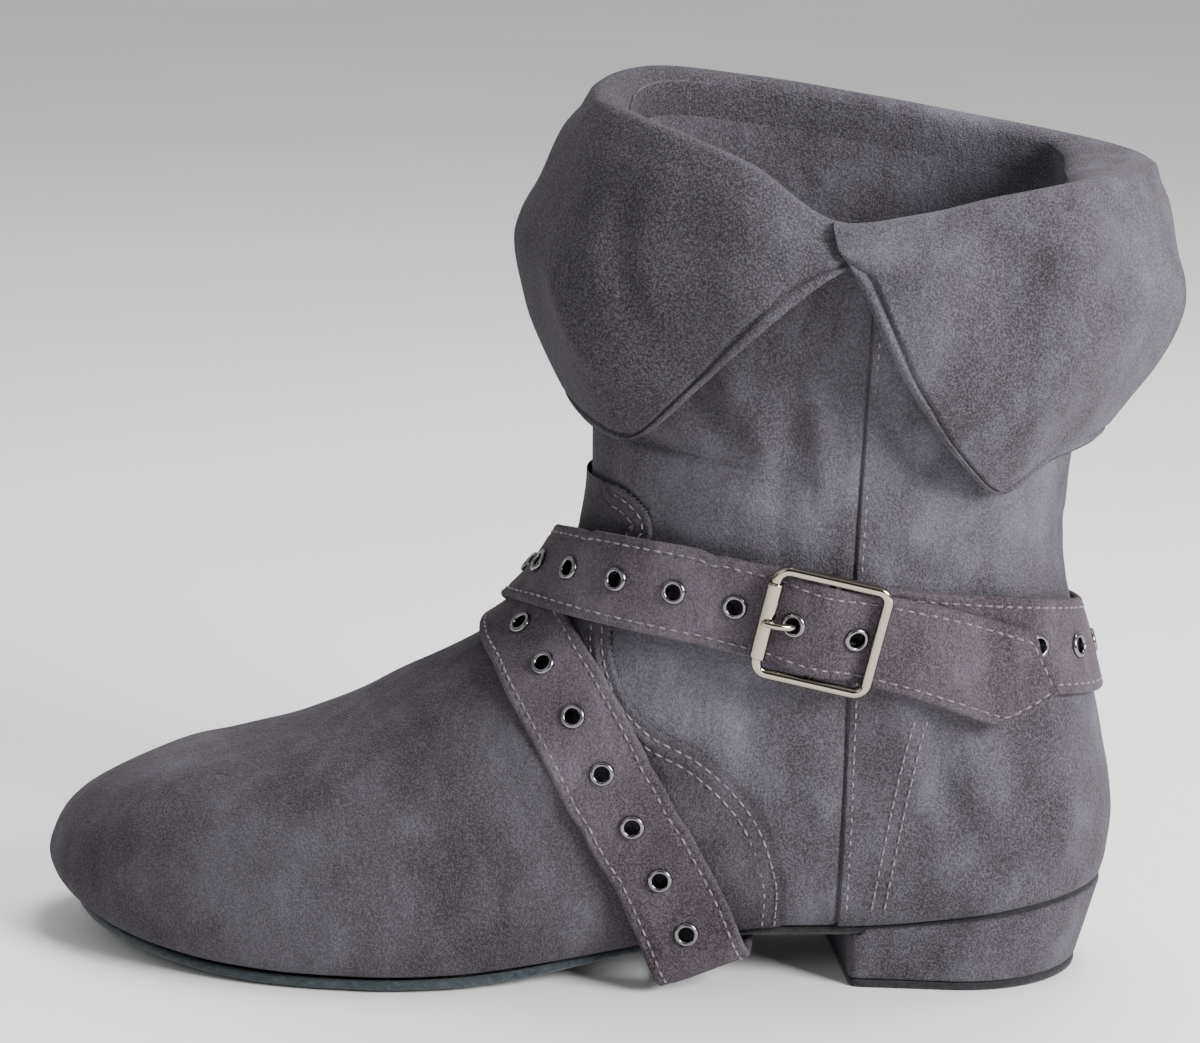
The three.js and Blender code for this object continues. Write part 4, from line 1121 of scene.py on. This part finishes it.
class BOOT_OT_sole(bpy.types.Operator):
    """Sole, insole, heel and top lift"""

    bl_idname = "boot.sole"
    bl_label = "Sole and heel"

    def execute(self, context):
        self.outsole()
        self.insole()
        self.heel()
        return {"FINISHED"}

    def foot_line(self, turn, inset):
        """The sole's edge, set in by some millimetres."""
        flat = unit(slopes(turn, 0.0)[2] * [1, 1, 0])
        return form(turn, 0.0) + flat * (SOLE_MARGIN - inset)

    def slab(self, insets_ups, tuck=0.0):
        """Rings round the foot line with the two faces closed across; tuck sets the edge back at the
        waist and the heel."""
        turns = np.linspace(0, 2, 220)
        rounds = np.concatenate([turns, 4 - turns[::-1][1:-1]])
        rings = []
        for inset, up in insets_ups:
            fore = self.foot_line(rounds, inset)[:, 0]
            back = tuck * (1 - smooth_step((fore - 0.44 * FOOT_LENGTH) / 24))
            line = self.foot_line(rounds, (inset + back)[:, None])
            rings.append(np.stack([line[:, 0], line[:, 1], up(line[:, 0])], -1))
        grids = [(np.array(rings), True)]
        for inset, up in (insets_ups[0], insets_ups[-1]):
            outer = self.foot_line(turns, inset + tuck)
            inner = self.foot_line(4 - turns, inset + tuck)
            face = mix(outer[None], inner[None], np.linspace(0, 1, 15)[:, None, None])
            face[..., 2] = up(face[..., 0])
            grids.append((face, False))
        return grids

    def outsole(self):
        def curl(fore):
            return 0.8 * smooth_step((fore / FOOT_LENGTH - 0.27) / 0.08)

        def fray(fore, amount, seed):
            at = np.stack([fore, fore * 0.37, fore * 0], -1)
            return amount * hash_wave(at, (5.0, 2.3), seed)

        grids = self.slab(
            (
                (5.0, sole_under),
                (1.6, lambda fore: sole_under(fore) + 0.5 * curl(fore)),
                (0.5, lambda fore: sole_under(fore) + curl(fore) + fray(fore, 0.1, 3)),
                (0.0, lambda fore: sole_under(fore) + curl(fore) + 0.6 + fray(fore, 0.1, 4)),
                (0.05, lambda fore: sole_under(fore) + sole_depth(fore) - 0.5),
                (0.35, lambda fore: sole_under(fore) + sole_depth(fore) - 0.05),
                (1.5, lambda fore: sole_under(fore) + sole_depth(fore)),
            ),
            1.5,
        )
        piece("split_leather_sole", sheet_of(grids), split_leather(), ["outsole"])

    def insole(self):
        inset = SOLE_MARGIN + WALL + 5 * GAP
        grids = self.slab(
            (
                (inset, feather),
                (inset, lambda fore: feather(fore) + INSOLE_THICKNESS - 0.6),
                (inset + 0.5, lambda fore: feather(fore) + INSOLE_THICKNESS),
            )
        )
        lining = microsuede("Lining cloth, brushed", "#5c5860", "#77727a", "#8a858d", 0.7)
        piece("insole_sock", sheet_of(grids), lining, ["insole"])

    def heel_ring(self, inset, up, depth):
        """Outline of the heel at a height, with its breast and two corners, as a closed ring."""
        outer, inner = self.turn_at(BREAST_FORE), 4 - self.turn_at(BREAST_FORE + BREAST_SLANT)
        line = self.foot_line(np.linspace(outer, inner, 120), inset)
        back = np.clip((BREAST_FORE - line[:, 0]) / BREAST_FORE, 0, 1)
        fore = line[:, 0] + depth * HEEL_TAPER * back
        side = line[:, 1] * (1 - 0.05 * depth)
        ring = np.stack([fore, side], -1)
        breast = mix(ring[-1], ring[0], np.linspace(0, 1, 42)[1:-1, None])
        loop = np.concatenate([ring, breast, ring[:1]])
        reach = lengths(loop)
        out = read_at(np.linspace(0, reach[-1], 241)[:-1], reach, loop)
        for _ in range(6):
            out = 0.5 * out + 0.25 * (np.roll(out, 1, 0) + np.roll(out, -1, 0))
        ups = up(out[:, 0]) if callable(up) else np.full(len(out), float(up))
        return np.concatenate([out, ups[:, None]], -1)

    def turn_at(self, fore):
        """Turn of a place on the sole's outer side."""
        front, back = profile(0.0)
        seam = float(seam_line(0.0)) * FOOT_LENGTH
        if fore >= seam:
            return 2 / math.pi * math.acos(min(1, (fore - seam) / (front * FOOT_LENGTH - seam)))
        return 1 + 2 / math.pi * math.asin(min(1, (seam - fore) / (seam - back * FOOT_LENGTH)))

    def closed_block(self, rings):
        """Rings over one another with both ends closed."""
        rings = np.array(rings)
        caps = []
        for ring in (rings[0], rings[-1]):
            centre = ring.mean(0)
            caps.append((mix(ring[None], centre[None, None], np.linspace(0, 1, 12)[:, None, None]), True))
        return [(rings, True)] + caps

    def heel(self):
        low = LIFT_THICKNESS + GAP

        def top(fore):
            cover = smooth_step((BREAST_FORE - 1 - fore) / 3)
            return sole_under(fore) - GAP + cover * (sole_depth(fore) - 0.35)

        rings = []
        for share in (0, 0.02, 0.06, 0.15, 0.3, 0.45, 0.6, 0.75, 0.88, 0.95, 0.985, 1):
            # The covering turns in softly over the last twentieth at either end
            end = max(0, abs(2 * share - 1) - 0.9)
            soft = 0.9 * (1 - math.sqrt(1 - end**2 * 100 * 0.99))
            inset = 0.7 + 0.8 * soft
            rings.append(self.heel_ring(inset, lambda fore, s=share: mix(low, top(fore), s), 1 - share))
        places, faces = sheet_of(self.closed_block(rings))
        places[:, :2] += 0.12 * hash_wave(places, (14, 8), 21)[:, None] * [0.3, 1]
        piece("covered_heel", (places, faces), suede(), ["heel"])
        rings = [
            self.heel_ring(1.4, 0.0, 1),
            self.heel_ring(0.9, 0.12, 1),
            self.heel_ring(0.75, 0.6, 1),
            self.heel_ring(0.75, LIFT_THICKNESS - 0.4, 1),
            self.heel_ring(1.0, LIFT_THICKNESS, 1),
        ]
        sheet = sheet_of(self.closed_block(rings))
        piece("heel_top_lift", sheet, split_leather(), ["heel_lift"])


# Distance between the strap's stations, and from its edge to its stitching
STATION = 0.95
STITCH_INSET = 2.3
# Hole under an eyelet, in metres: its radius and half its depth
PUNCH_RADIUS, PUNCH_DEPTH = 0.00215, 0.0035
# Strap: turn, level and lift over the form of its middle line, and its width as a share
LAYER_LIFT = GAP + VAMP_THICKNESS + 2 * GAP
SECOND_LIFT = LAYER_LIFT + STRAP_THICKNESS + 2 * GAP
ANKLE_RUN = (
    (0.968, 0.867, 3.3, 1),
    (1.02, 0.861, 2.1, 1),
    (1.1, 0.853, 0.7, 1),
    (1.3, 0.833, 0.6, 1),
    (1.6, 0.798, 0.6, 1),
    (1.83, 0.77, 0.6, 1),
    (2, 0.752, 0.6, 1),
    (2.3, 0.742, 0.6, 1),
    (2.7, 0.745, 0.6, 1),
    (3.1, 0.757, 0.7, 1),
    (3.38, 0.77, LAYER_LIFT, 1),
    (3.75, 0.785, LAYER_LIFT, 1),
    (4, 0.8, LAYER_LIFT, 1),
    (4.244, 0.776, LAYER_LIFT, 1),
    (4.419, 0.73, LAYER_LIFT, 1),
    (4.59, 0.646, LAYER_LIFT, 1),
    (4.699, 0.536, LAYER_LIFT, 1),
    (4.806, 0.397, LAYER_LIFT, 1),
    (4.847, 0.29, LAYER_LIFT, 1),
)
ARCH_RUN = (
    (-0.847, 0.29, LAYER_LIFT, 1),
    (-0.806, 0.397, LAYER_LIFT, 1),
    (-0.7, 0.536, 2.4, 1),
    (-0.58, 0.64, 3.8, 1),
    (-0.42, 0.73, SECOND_LIFT, 1),
    (-0.25, 0.795, SECOND_LIFT, 1),
    (-0.1, 0.845, SECOND_LIFT, 1),
    (0.02, 0.875, SECOND_LIFT, 1),
    (0.13, 0.9, SECOND_LIFT, 1),
    (0.263, 0.918, SECOND_LIFT, 1),
    (0.461, 0.931, 4.2, 1),
    (0.629, 0.927, 3, 1),
    (0.76, 0.909, 2.3, 1),
    (0.8, 0.902, 2.1, 1),
    (0.838, 0.895, 2.4, 1),
    (0.94, 0.873, 6.1, 1),
    (1.05, 0.85, 3.1, 1),
    (1.2, 0.82, 3, 1),
    (1.36, 0.773, 3.3, 1),
    (1.43, 0.749, 3.8, 1),
    (1.462, 0.738, 3.9, 1),
    (1.522, 0.719, 4.0, 0.54),
    (1.58, 0.702, 4.1, 0.08),
)
# Fold up the sides of the arch: out from the vamp, rise over the plane below the sole, fore share
ARCH_FOLDS = ((0.2, 13.5, 0.021), (0.2, 8, 0.012), (-0.3, 3.2, 0.005), (-1.8, 0.7, 0.001), (-4.8, 0, 0))
ARCH_REAR, ARCH_FRONT = (0.3165, 11.2), (0.4, 2.8)


def soften(values, reach=40):
    """Evens out the bends between rows, with both ends held."""
    weights = np.exp(-((np.arange(-reach, reach + 1) / (reach / 2.6)) ** 2))
    before = 2 * values[0] - values[reach:0:-1]
    after = 2 * values[-1] - values[-2 : -reach - 2 : -1]
    return np.convolve(np.concatenate([before, values, after]), weights / weights.sum(), "valid")


def rails_of(run, count):
    """Rear, middle and front line of a run of the strap along the form."""
    read = table(*[(i, *row) for i, row in enumerate(run)])
    at = np.linspace(0, len(run) - 1, count)
    turn, level, lift, _ = read(at)
    turn, level = soften(turn), soften(level)
    width = np.interp(at, np.arange(len(run)), [row[3] for row in run])
    middle = lifted(turn, level, lift)
    normal = slopes(turn, level)[2]
    heading = unit(np.gradient(middle, axis=0))
    sideways = unit(np.cross(normal, heading))
    rails = []
    for way in (-1, 0, 1):
        t, v = turn.copy(), level.copy()
        half = way * STRAP_WIDTH * width / 2
        # The outer rails are found on the form a quarter of the way at a time
        for i in range(1, 5 if way else 1):
            target = form(turn, level) + sideways * (half * i / 4)[:, None]
            away = target - form(t, v)
            along, rising, _ = slopes(t, v)
            aa, ab, bb = (along * along).sum(-1), (along * rising).sum(-1), (rising * rising).sum(-1)
            ta, tb = (away * along).sum(-1), (away * rising).sum(-1)
            det = aa * bb - ab * ab
            t, v = t + (ta * bb - tb * ab) / det, v + (tb * aa - ta * ab) / det
        rails.append(lifted(t, np.maximum(v, 0.002), lift))
    return np.stack(rails, 1)


def arch_places(side):
    """Rear, middle and front places of the strap from the vamp to under the arch."""
    rows, levels = [], np.array([0.1, 0.15, 0.2, 0.25, 0.3])
    for out, rise, ahead in ARCH_FOLDS:
        row = []
        for share in (0, 0.5, 1):
            fore = (mix(ARCH_REAR[0], ARCH_FRONT[0], share) + ahead) * FOOT_LENGTH
            bulge = half_width(levels, np.array(fore), side < 0).max()
            up = mix(ARCH_REAR[1], ARCH_FRONT[1], share) + rise
            row.append((fore, side * (bulge + LAYER_LIFT + out), up))
        rows.append(row)
    return np.array(rows, float)


def through(points, count):
    """A centripetal spline through places, read at even lengths."""
    points = np.asarray(points, float)
    knots = np.concatenate([[0], np.cumsum(np.linalg.norm(np.diff(points, axis=0), axis=1) ** 0.5)])
    spans = np.diff(knots)
    ahead = np.diff(points, axis=0) / spans[:, None]
    crossed = ahead[:-1] * spans[1:, None] + ahead[1:] * spans[:-1, None]
    tangents = np.vstack([ahead[:1], crossed / (spans[1:] + spans[:-1])[:, None], ahead[-1:]])
    fine = np.linspace(0, knots[-1], count * 8)
    i = np.clip(np.searchsorted(knots, fine, side="right") - 1, 0, len(spans) - 1)
    span = spans[i][:, None]
    t = (fine - knots[i])[:, None] / span
    got = (
        points[i] * (1 + 2 * t) * (1 - t) ** 2
        + points[i + 1] * t * t * (3 - 2 * t)
        + span * t * (1 - t) * (tangents[i] * (1 - t) - tangents[i + 1] * t)
    )
    return even(got, count)


def even(line, count):
    """A line read again at even lengths."""
    reach = lengths(line)
    return read_at(np.linspace(0, reach[-1], count), reach, line)


def strap_rails():
    """The whole strap's rear, middle and front lines at stations about a millimetre apart."""
    ankle, arch = rails_of(ANKLE_RUN, 900), rails_of(ARCH_RUN, 900)
    fold = np.concatenate([ankle[-1:], arch_places(-1), arch_places(1)[::-1], arch[:1]])
    fold = np.stack([through(fold[:, k], 160) for k in range(3)], 1)
    rails = np.concatenate([ankle, fold[1:-1], arch])
    reach = lengths(rails[:, 1])
    count = int(reach[-1] / STATION)
    even_rails = read_at(np.linspace(0, reach[-1], count), reach, rails.reshape(len(rails), 9))
    for _ in range(2):
        even_rails[1:-1] = 0.5 * even_rails[1:-1] + 0.25 * (even_rails[:-2] + even_rails[2:])
    return even_rails.reshape(count, 3, 3)


def between(rear, middle, front, x):
    """Places on the parabola through three rails, x from -1 to 1."""
    return rear * x * (x - 1) / 2 + middle * (1 - x * x) + front * x * (x + 1) / 2


def strap_surface(rails, across, over):
    """Places of the strap at shares across (-1 to 1) and heights over its inner face."""
    surface = between(rails[:, :1], rails[:, 1:2], rails[:, 2:], across[None, :, None])
    heading = unit(np.gradient(rails[:, 1], axis=0))[:, None]
    spread = np.gradient(surface, axis=1)
    normal = unit(np.cross(heading, spread))
    return surface + normal * np.broadcast_to(over, surface.shape[:2])[..., None]


def corners(thing):
    return np.array([vertex.co for vertex in thing.data.vertices])


def eyelet_seats(tree):
    """Centre and outward normal of each CAD eyelet, set on the strap's face, in metres."""
    seats = []
    for name in EYELETS:
        spot, normal, _, _ = tree.find_nearest(Vector(corners(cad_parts[name]).mean(0)))
        seats.append((np.array(spot), np.array(normal)))
    return seats


class BOOT_OT_strap(bpy.types.Operator):
    """Strap: one long band of folded suede with its stitching and punched holes"""

    bl_idname = "boot.strap"
    bl_label = "Strap"

    def execute(self, context):
        rails = strap_rails()
        width = np.linalg.norm(rails[:, 2] - rails[:, 0], axis=-1) / 2
        edge = 0.11 * np.linspace(0, 1, 6) ** 1.6
        across = np.concatenate([-1 + edge, np.linspace(-0.85, 0.85, 19), 1 - edge[::-1]])
        from_edge = (1 - np.abs(across))[None] * width[:, None]
        rolled = round_edge(from_edge, 0.95)
        sewn = -0.3 * hill(from_edge, STITCH_INSET, 0.6)
        crown = 0.18 * (1 - across**2)[None]
        reach = np.arange(len(rails))[:, None] * STATION
        soft = 0.12 * np.sin(reach / 9.0) * across[None] + 0.08 * np.sin(reach / 5.3 + 2 * across[None])
        top = STRAP_THICKNESS * (0.5 + 0.5 * rolled) + sewn + crown + soft * smooth_step(from_edge / 4)
        low = STRAP_THICKNESS * 0.5 * (1 - rolled)
        upper_face = strap_surface(rails, across, top)
        lower_face = strap_surface(rails, across, low)
        between_faces = (upper_face + lower_face) / 2
        grids = [(upper_face, False), (lower_face, False)]
        for k in (0, -1):
            grids.append((np.stack([upper_face[k], between_faces[k], lower_face[k]]), False))
        places, faces = sheet_of(grids)
        points = place(places)
        count = (upper_face.shape[0] - 1) * (upper_face.shape[1] - 1)
        tree = BVHTree.FromPolygons([Vector(p) for p in points], faces[:count].tolist())
        middle = points[faces].mean(1)
        keep = np.ones(len(faces), bool)
        for spot, facing in eyelet_seats(tree):
            away = middle - spot
            height = away @ facing
            flat = np.linalg.norm(away - height[:, None] * facing, axis=-1)
            keep &= ~((flat < PUNCH_RADIUS) & (np.abs(height) < PUNCH_DEPTH))
        sheet = places, faces[keep]
        piece("folded_strap", sheet, strap_suede(), ["strap"])
        self.sew(rails, width)
        return {"FINISHED"}

    def sew(self, rails, width):
        """A row of stitches along each edge, as far as the strap is wide enough."""
        rear, middle, front = rails[:, 0], rails[:, 1], rails[:, 2]
        heading = unit(np.gradient(middle, axis=0))
        over = unit(np.cross(heading, front - rear))
        near = width > STITCH_INSET + 0.3
        near[:3] = False
        runs = []
        for way in (-1, 1):
            share = way * (1 - STITCH_INSET / np.maximum(width, STITCH_INSET))
            row = between(rear, middle, front, share[:, None]) + over * (STRAP_THICKNESS - 0.12)
            runs.append((row[near], over[near]))
        stitches("strap_stitching", runs)


class BOOT_OT_eyelets(bpy.types.Operator):
    """Eyelets: rolled metal rings with their barrels in the strap"""

    bl_idname = "boot.eyelets"
    bl_label = "Eyelets"

    def execute(self, context):
        # Across the metal from its barrel to its rim: radius, height over the strap
        rim = np.array([
            (EYELET_HOLE + 0.25, -1.6),
            (EYELET_HOLE + 0.02, -1.0),
            (EYELET_HOLE, 0.2),
            (EYELET_HOLE + 0.1, 0.52),
            (EYELET_HOLE + 0.34, 0.74),
            (EYELET_HOLE + 0.62, 0.76),
            (EYELET_HOLE + 0.9, 0.6),
            (EYELET_RADIUS - 0.08, 0.34),
            (EYELET_RADIUS, 0.1),
            (EYELET_RADIUS - 0.1, -0.1),
        ])
        grids = []
        angles = circle(28)
        for name in EYELETS:
            centre, normal = ring_axis(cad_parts[name])
            aside = unit(np.cross(normal, [0.31, 0.2, 0.93]))
            other = np.cross(normal, aside)
            around = np.cos(angles)[:, None] * aside + np.sin(angles)[:, None] * other
            out, up = rim[:, 0][:, None, None], rim[:, 1][:, None, None]
            grids.append((centre + around[None] * out + normal * up, True))
        piece("strap_eyelets", sheet_of(grids), gunmetal(), EYELETS, 0.001)
        return {"FINISHED"}


def ring_axis(thing):
    """Seat centre and outward normal of a CAD ring, in boot millimetres."""
    places = unplace(corners(thing))
    centre = places.mean(0)
    arms = places - centre
    normal = np.linalg.svd(arms)[2][2]
    # The ring's wide face is at its foot, so its rim points lie on the side of the strap
    spread = np.linalg.norm(np.cross(arms, normal), axis=-1)
    if (arms @ normal)[spread > spread.max() - 0.05].mean() > 0:
        normal = -normal
    return centre + normal * (arms @ normal).min(), normal


# Turn and level of the buckle's centre
BUCKLE_PLACE = (0.94, 0.873)


def buckle_seat():
    """The buckle's centre and its own directions: ahead, up along its bar, out from the shaft."""
    centre, normal = form(*BUCKLE_PLACE), slopes(*BUCKLE_PLACE)[2]
    ahead = form(0.825, 0.898) - form(1.06, 0.848)
    heading = unit(ahead - normal * (ahead @ normal))
    return centre, heading, np.cross(normal, heading), normal


def at_buckle(route):
    """Places given as (ahead, up, out) from the buckle's centre."""
    centre, heading, rise, normal = buckle_seat()
    route = np.asarray(route, float)
    return centre + route[:, :1] * heading + route[:, 1:2] * rise + route[:, 2:] * normal


class BOOT_OT_buckle(bpy.types.Operator):
    """Buckle: square frame, centre bar, roller and prong"""

    bl_idname = "boot.buckle"
    bl_label = "Roller buckle"

    def execute(self, context):
        span = STRAP_WIDTH + 1 + BUCKLE_BAR
        half, rise, corner = (BUCKLE_LENGTH - BUCKLE_BAR) / 2, span / 2, 2.8
        route = []
        for quarter in range(4):
            ahead = (half - corner) * (1 if quarter in (0, 3) else -1)
            up = (rise - corner) * (1 if quarter < 2 else -1)
            for i in range(9):
                angle = (quarter + i / 8) * math.pi / 2
                x, y = ahead + corner * math.cos(angle), up + corner * math.sin(angle)
                route.append((x, y, FRAME_LIFT))
        fine = []
        for a, b in zip(route, route[1:] + route[:1]):
            steps = max(1, int(math.dist(a, b) / 2.5))
            fine += [tuple(mix(np.array(a), np.array(b), k / steps)) for k in range(steps)]
        grids = [tube(at_buckle(fine), BUCKLE_BAR / 2 * 1.12, 32, True, square=0.9)]
        bar = [(0, y, BAR_LIFT) for y in np.linspace(-rise, rise, 12)]
        grids.append(tube(at_buckle(bar), BAR_RADIUS, 12))
        for way in (-1, 1):
            lug = [(0, way * rise, z) for z in np.linspace(BAR_LIFT - 1.1, FRAME_LIFT, 6)]
            grids.append(tube(at_buckle(lug), [1.0, 1.3, 1.45, 1.4, 1.2, 0.9], 14, flat=0.7))
        sheet = sheet_of(grids)
        piece("square_buckle_frame", sheet, nickel(), ["buckle_frame"], 0.001)
        self.roller(half, rise - 3.4)
        self.prong()
        return {"FINISHED"}

    def roller(self, front, reach):
        """A tube on the frame's front side, its ends softly rounded."""
        inner = BUCKLE_BAR / 2 + GAP
        outer = inner + 0.5
        # From the middle of an end to its outside: radius, height over the end
        end = ((inner, 0), (inner + 0.2, 0.02), (outer - 0.12, 0), (outer, -0.18))
        rings = [(r, -reach - over) for r, over in end]
        rings += [(outer, y) for y in np.linspace(-reach + 0.6, reach - 0.6, 8)]
        rings += [(r, reach + over) for r, over in end[::-1]]
        rows = []
        for r, y in rings:
            ring = [(front + r * math.cos(a), y, FRAME_LIFT + r * math.sin(a)) for a in circle(26)]
            rows.append(at_buckle(ring))
        sheet = sheet_of([(np.array(rows), True)])
        piece("buckle_roller_tube", sheet, nickel(), ["buckle_roller"], 0.001)

    def prong(self):
        """A pin from under the centre bar, over the strap and on to the roller."""
        # Ahead and out from the bar
        route = [
            (-0.9, -1.6),
            (0, -1.85),
            (1.4, -1.6),
            (2.9, -0.95),
            (4.4, -0.3),
            (5.6, 0.9),
            (6.3, 2.7),
            (7.2, 4),
            (8.8, 4.8),
            (11, 5.2),
            (14.2, 4.95),
        ]
        line = through([(x, 0, BAR_LIFT + z) for x, z in route], 44)
        share = np.linspace(0, 1, len(line))
        thick = PRONG_RADIUS * (1.05 - 0.25 * smooth_step((share - 0.8) / 0.2))
        thick[-1] *= 0.7
        sheet = sheet_of([tube(at_buckle(line), thick, 12, flat=1.15)])
        piece("buckle_prong_pin", sheet, nickel(), ["buckle_prong"], 0.001)


# The photograph's focal length and width, in its own pixels
FOCAL_PIXELS, FRAME_PIXELS = 3338.7, 1200


class BOOT_OT_stage(bpy.types.Operator):
    """Pale floor, soft studio light and the camera"""

    bl_idname = "boot.stage"
    bl_label = "Stage"

    def execute(self, context):
        self.floor()
        self.light()
        self.camera()
        return {"FINISHED"}

    def floor(self):
        mesh = bpy.data.meshes.new("studio_floor")
        steps = np.linspace(-20, 20, 3)
        mesh.from_pydata([(x, y, 0) for y in steps for x in steps], [], grid_faces(3, 3).tolist())
        material, tree, where = new_material("Paper sweep, white")
        colour = ramp(tree, noise(tree, where, 400, 2), ((0.3, "#f4f4f3"), (0.7, "#fafafa")))
        principled(tree, {"Base Color": colour}, Roughness=0.9)
        mesh.materials.append(material)
        thing = new_object("studio_floor", mesh)

    def light(self):
        world = bpy.data.worlds.new("Studio air")
        bpy.context.scene.world = world
        world.use_nodes = True
        tree = world.node_tree
        sky = tree.nodes["Background"]
        toward = node(tree, "ShaderNodeTexCoord").outputs["Generated"]
        share = ranged(tree, axis(tree, toward, "Z"), From_Min=-0.2, From_Max=1.0)
        shade = ramp(tree, share, ((0.15, "#8e8e8e"), (0.3, "#c8c8c8"), (0.8, "#ffffff")))
        dusk = ranged(tree, axis(tree, toward, "Y"), From_Min=-0.9, From_Max=0.1)
        room = ramp(tree, dusk, ((0, "#555555"), (1, "#ffffff")))
        tree.links.new(blend(tree, 1.0, shade, room, "MULTIPLY"), sky.inputs["Color"])
        sky.inputs["Strength"].default_value = 0.8
        # Name, place, size, power
        lamps = (
            ("key_softbox", (1.05, -0.65, 0.65), 0.5, 34.0),
            ("fill_softbox", (-0.5, -1.0, 0.6), 0.7, 2.2),
            ("top_softbox", (0.25, 0.2, 1.2), 0.6, 14.0),
        )
        aim = Vector((0, 0, 0.1))
        for name, spot, size, power in lamps:
            lamp = bpy.data.lights.new(name, "AREA")
            lamp.shape, lamp.size, lamp.energy = "SQUARE", size, power
            thing = new_object(name, lamp)
            thing.location = spot
            thing.rotation_euler = (aim - Vector(spot)).to_track_quat("-Z", "Y").to_euler()

    def camera(self):
        """The photograph's viewpoint: its angles, focal length, aim and distance."""
        azimuth, elevation, roll = (math.radians(a) for a in (4.5, 13.0, 0.5))
        level = math.cos(elevation)
        back = Vector((math.sin(azimuth) * level, -math.cos(azimuth) * level, math.sin(elevation)))
        flat = Vector((0, 0, 1)).cross(back).normalized()
        plumb = back.cross(flat)
        right = flat * math.cos(roll) + plumb * math.sin(roll)
        up = plumb * math.cos(roll) - flat * math.sin(roll)
        eye = bpy.data.cameras.new("photograph_camera")
        eye.sensor_width = 36
        eye.lens = FOCAL_PIXELS / FRAME_PIXELS * eye.sensor_width
        thing = new_object("photograph_camera", eye)
        thing.matrix_world = Matrix((right, up, back)).transposed().to_4x4()
        thing.location = Vector(place((119.57, 0, 105.66))) + back * 0.8
        bpy.context.scene.camera = thing


OPERATORS = (
    BOOT_OT_stage,
    BOOT_OT_shaft,
    BOOT_OT_vamp,
    BOOT_OT_cuff,
    BOOT_OT_sole,
    BOOT_OT_strap,
    BOOT_OT_eyelets,
    BOOT_OT_buckle,
)


class BOOT_PT_panel(bpy.types.Panel):
    """Lists the boot's settings and pieces"""

    bl_idname = "BOOT_PT_panel"
    bl_label = "Dance boot"
    bl_space_type = "VIEW_3D"
    bl_region_type = "UI"
    bl_category = "Boot"

    def draw(self, context):
        for key in BootSettings.__annotations__:
            self.layout.prop(context.scene.boot, key)
        for operator in OPERATORS:
            self.layout.operator(operator.bl_idname)


CLASSES = (BootSettings, *OPERATORS, BOOT_PT_panel)


def register():
    for made in CLASSES:
        bpy.utils.register_class(made)
    bpy.types.Scene.boot = bpy.props.PointerProperty(type=BootSettings)


def unregister():
    del bpy.types.Scene.boot
    for made in reversed(CLASSES):
        bpy.utils.unregister_class(made)


def main():
    register()
    for operator in OPERATORS:
        group, name = operator.bl_idname.split(".")
        getattr(getattr(bpy.ops, group), name)()


if __name__ == "__main__":
    main()
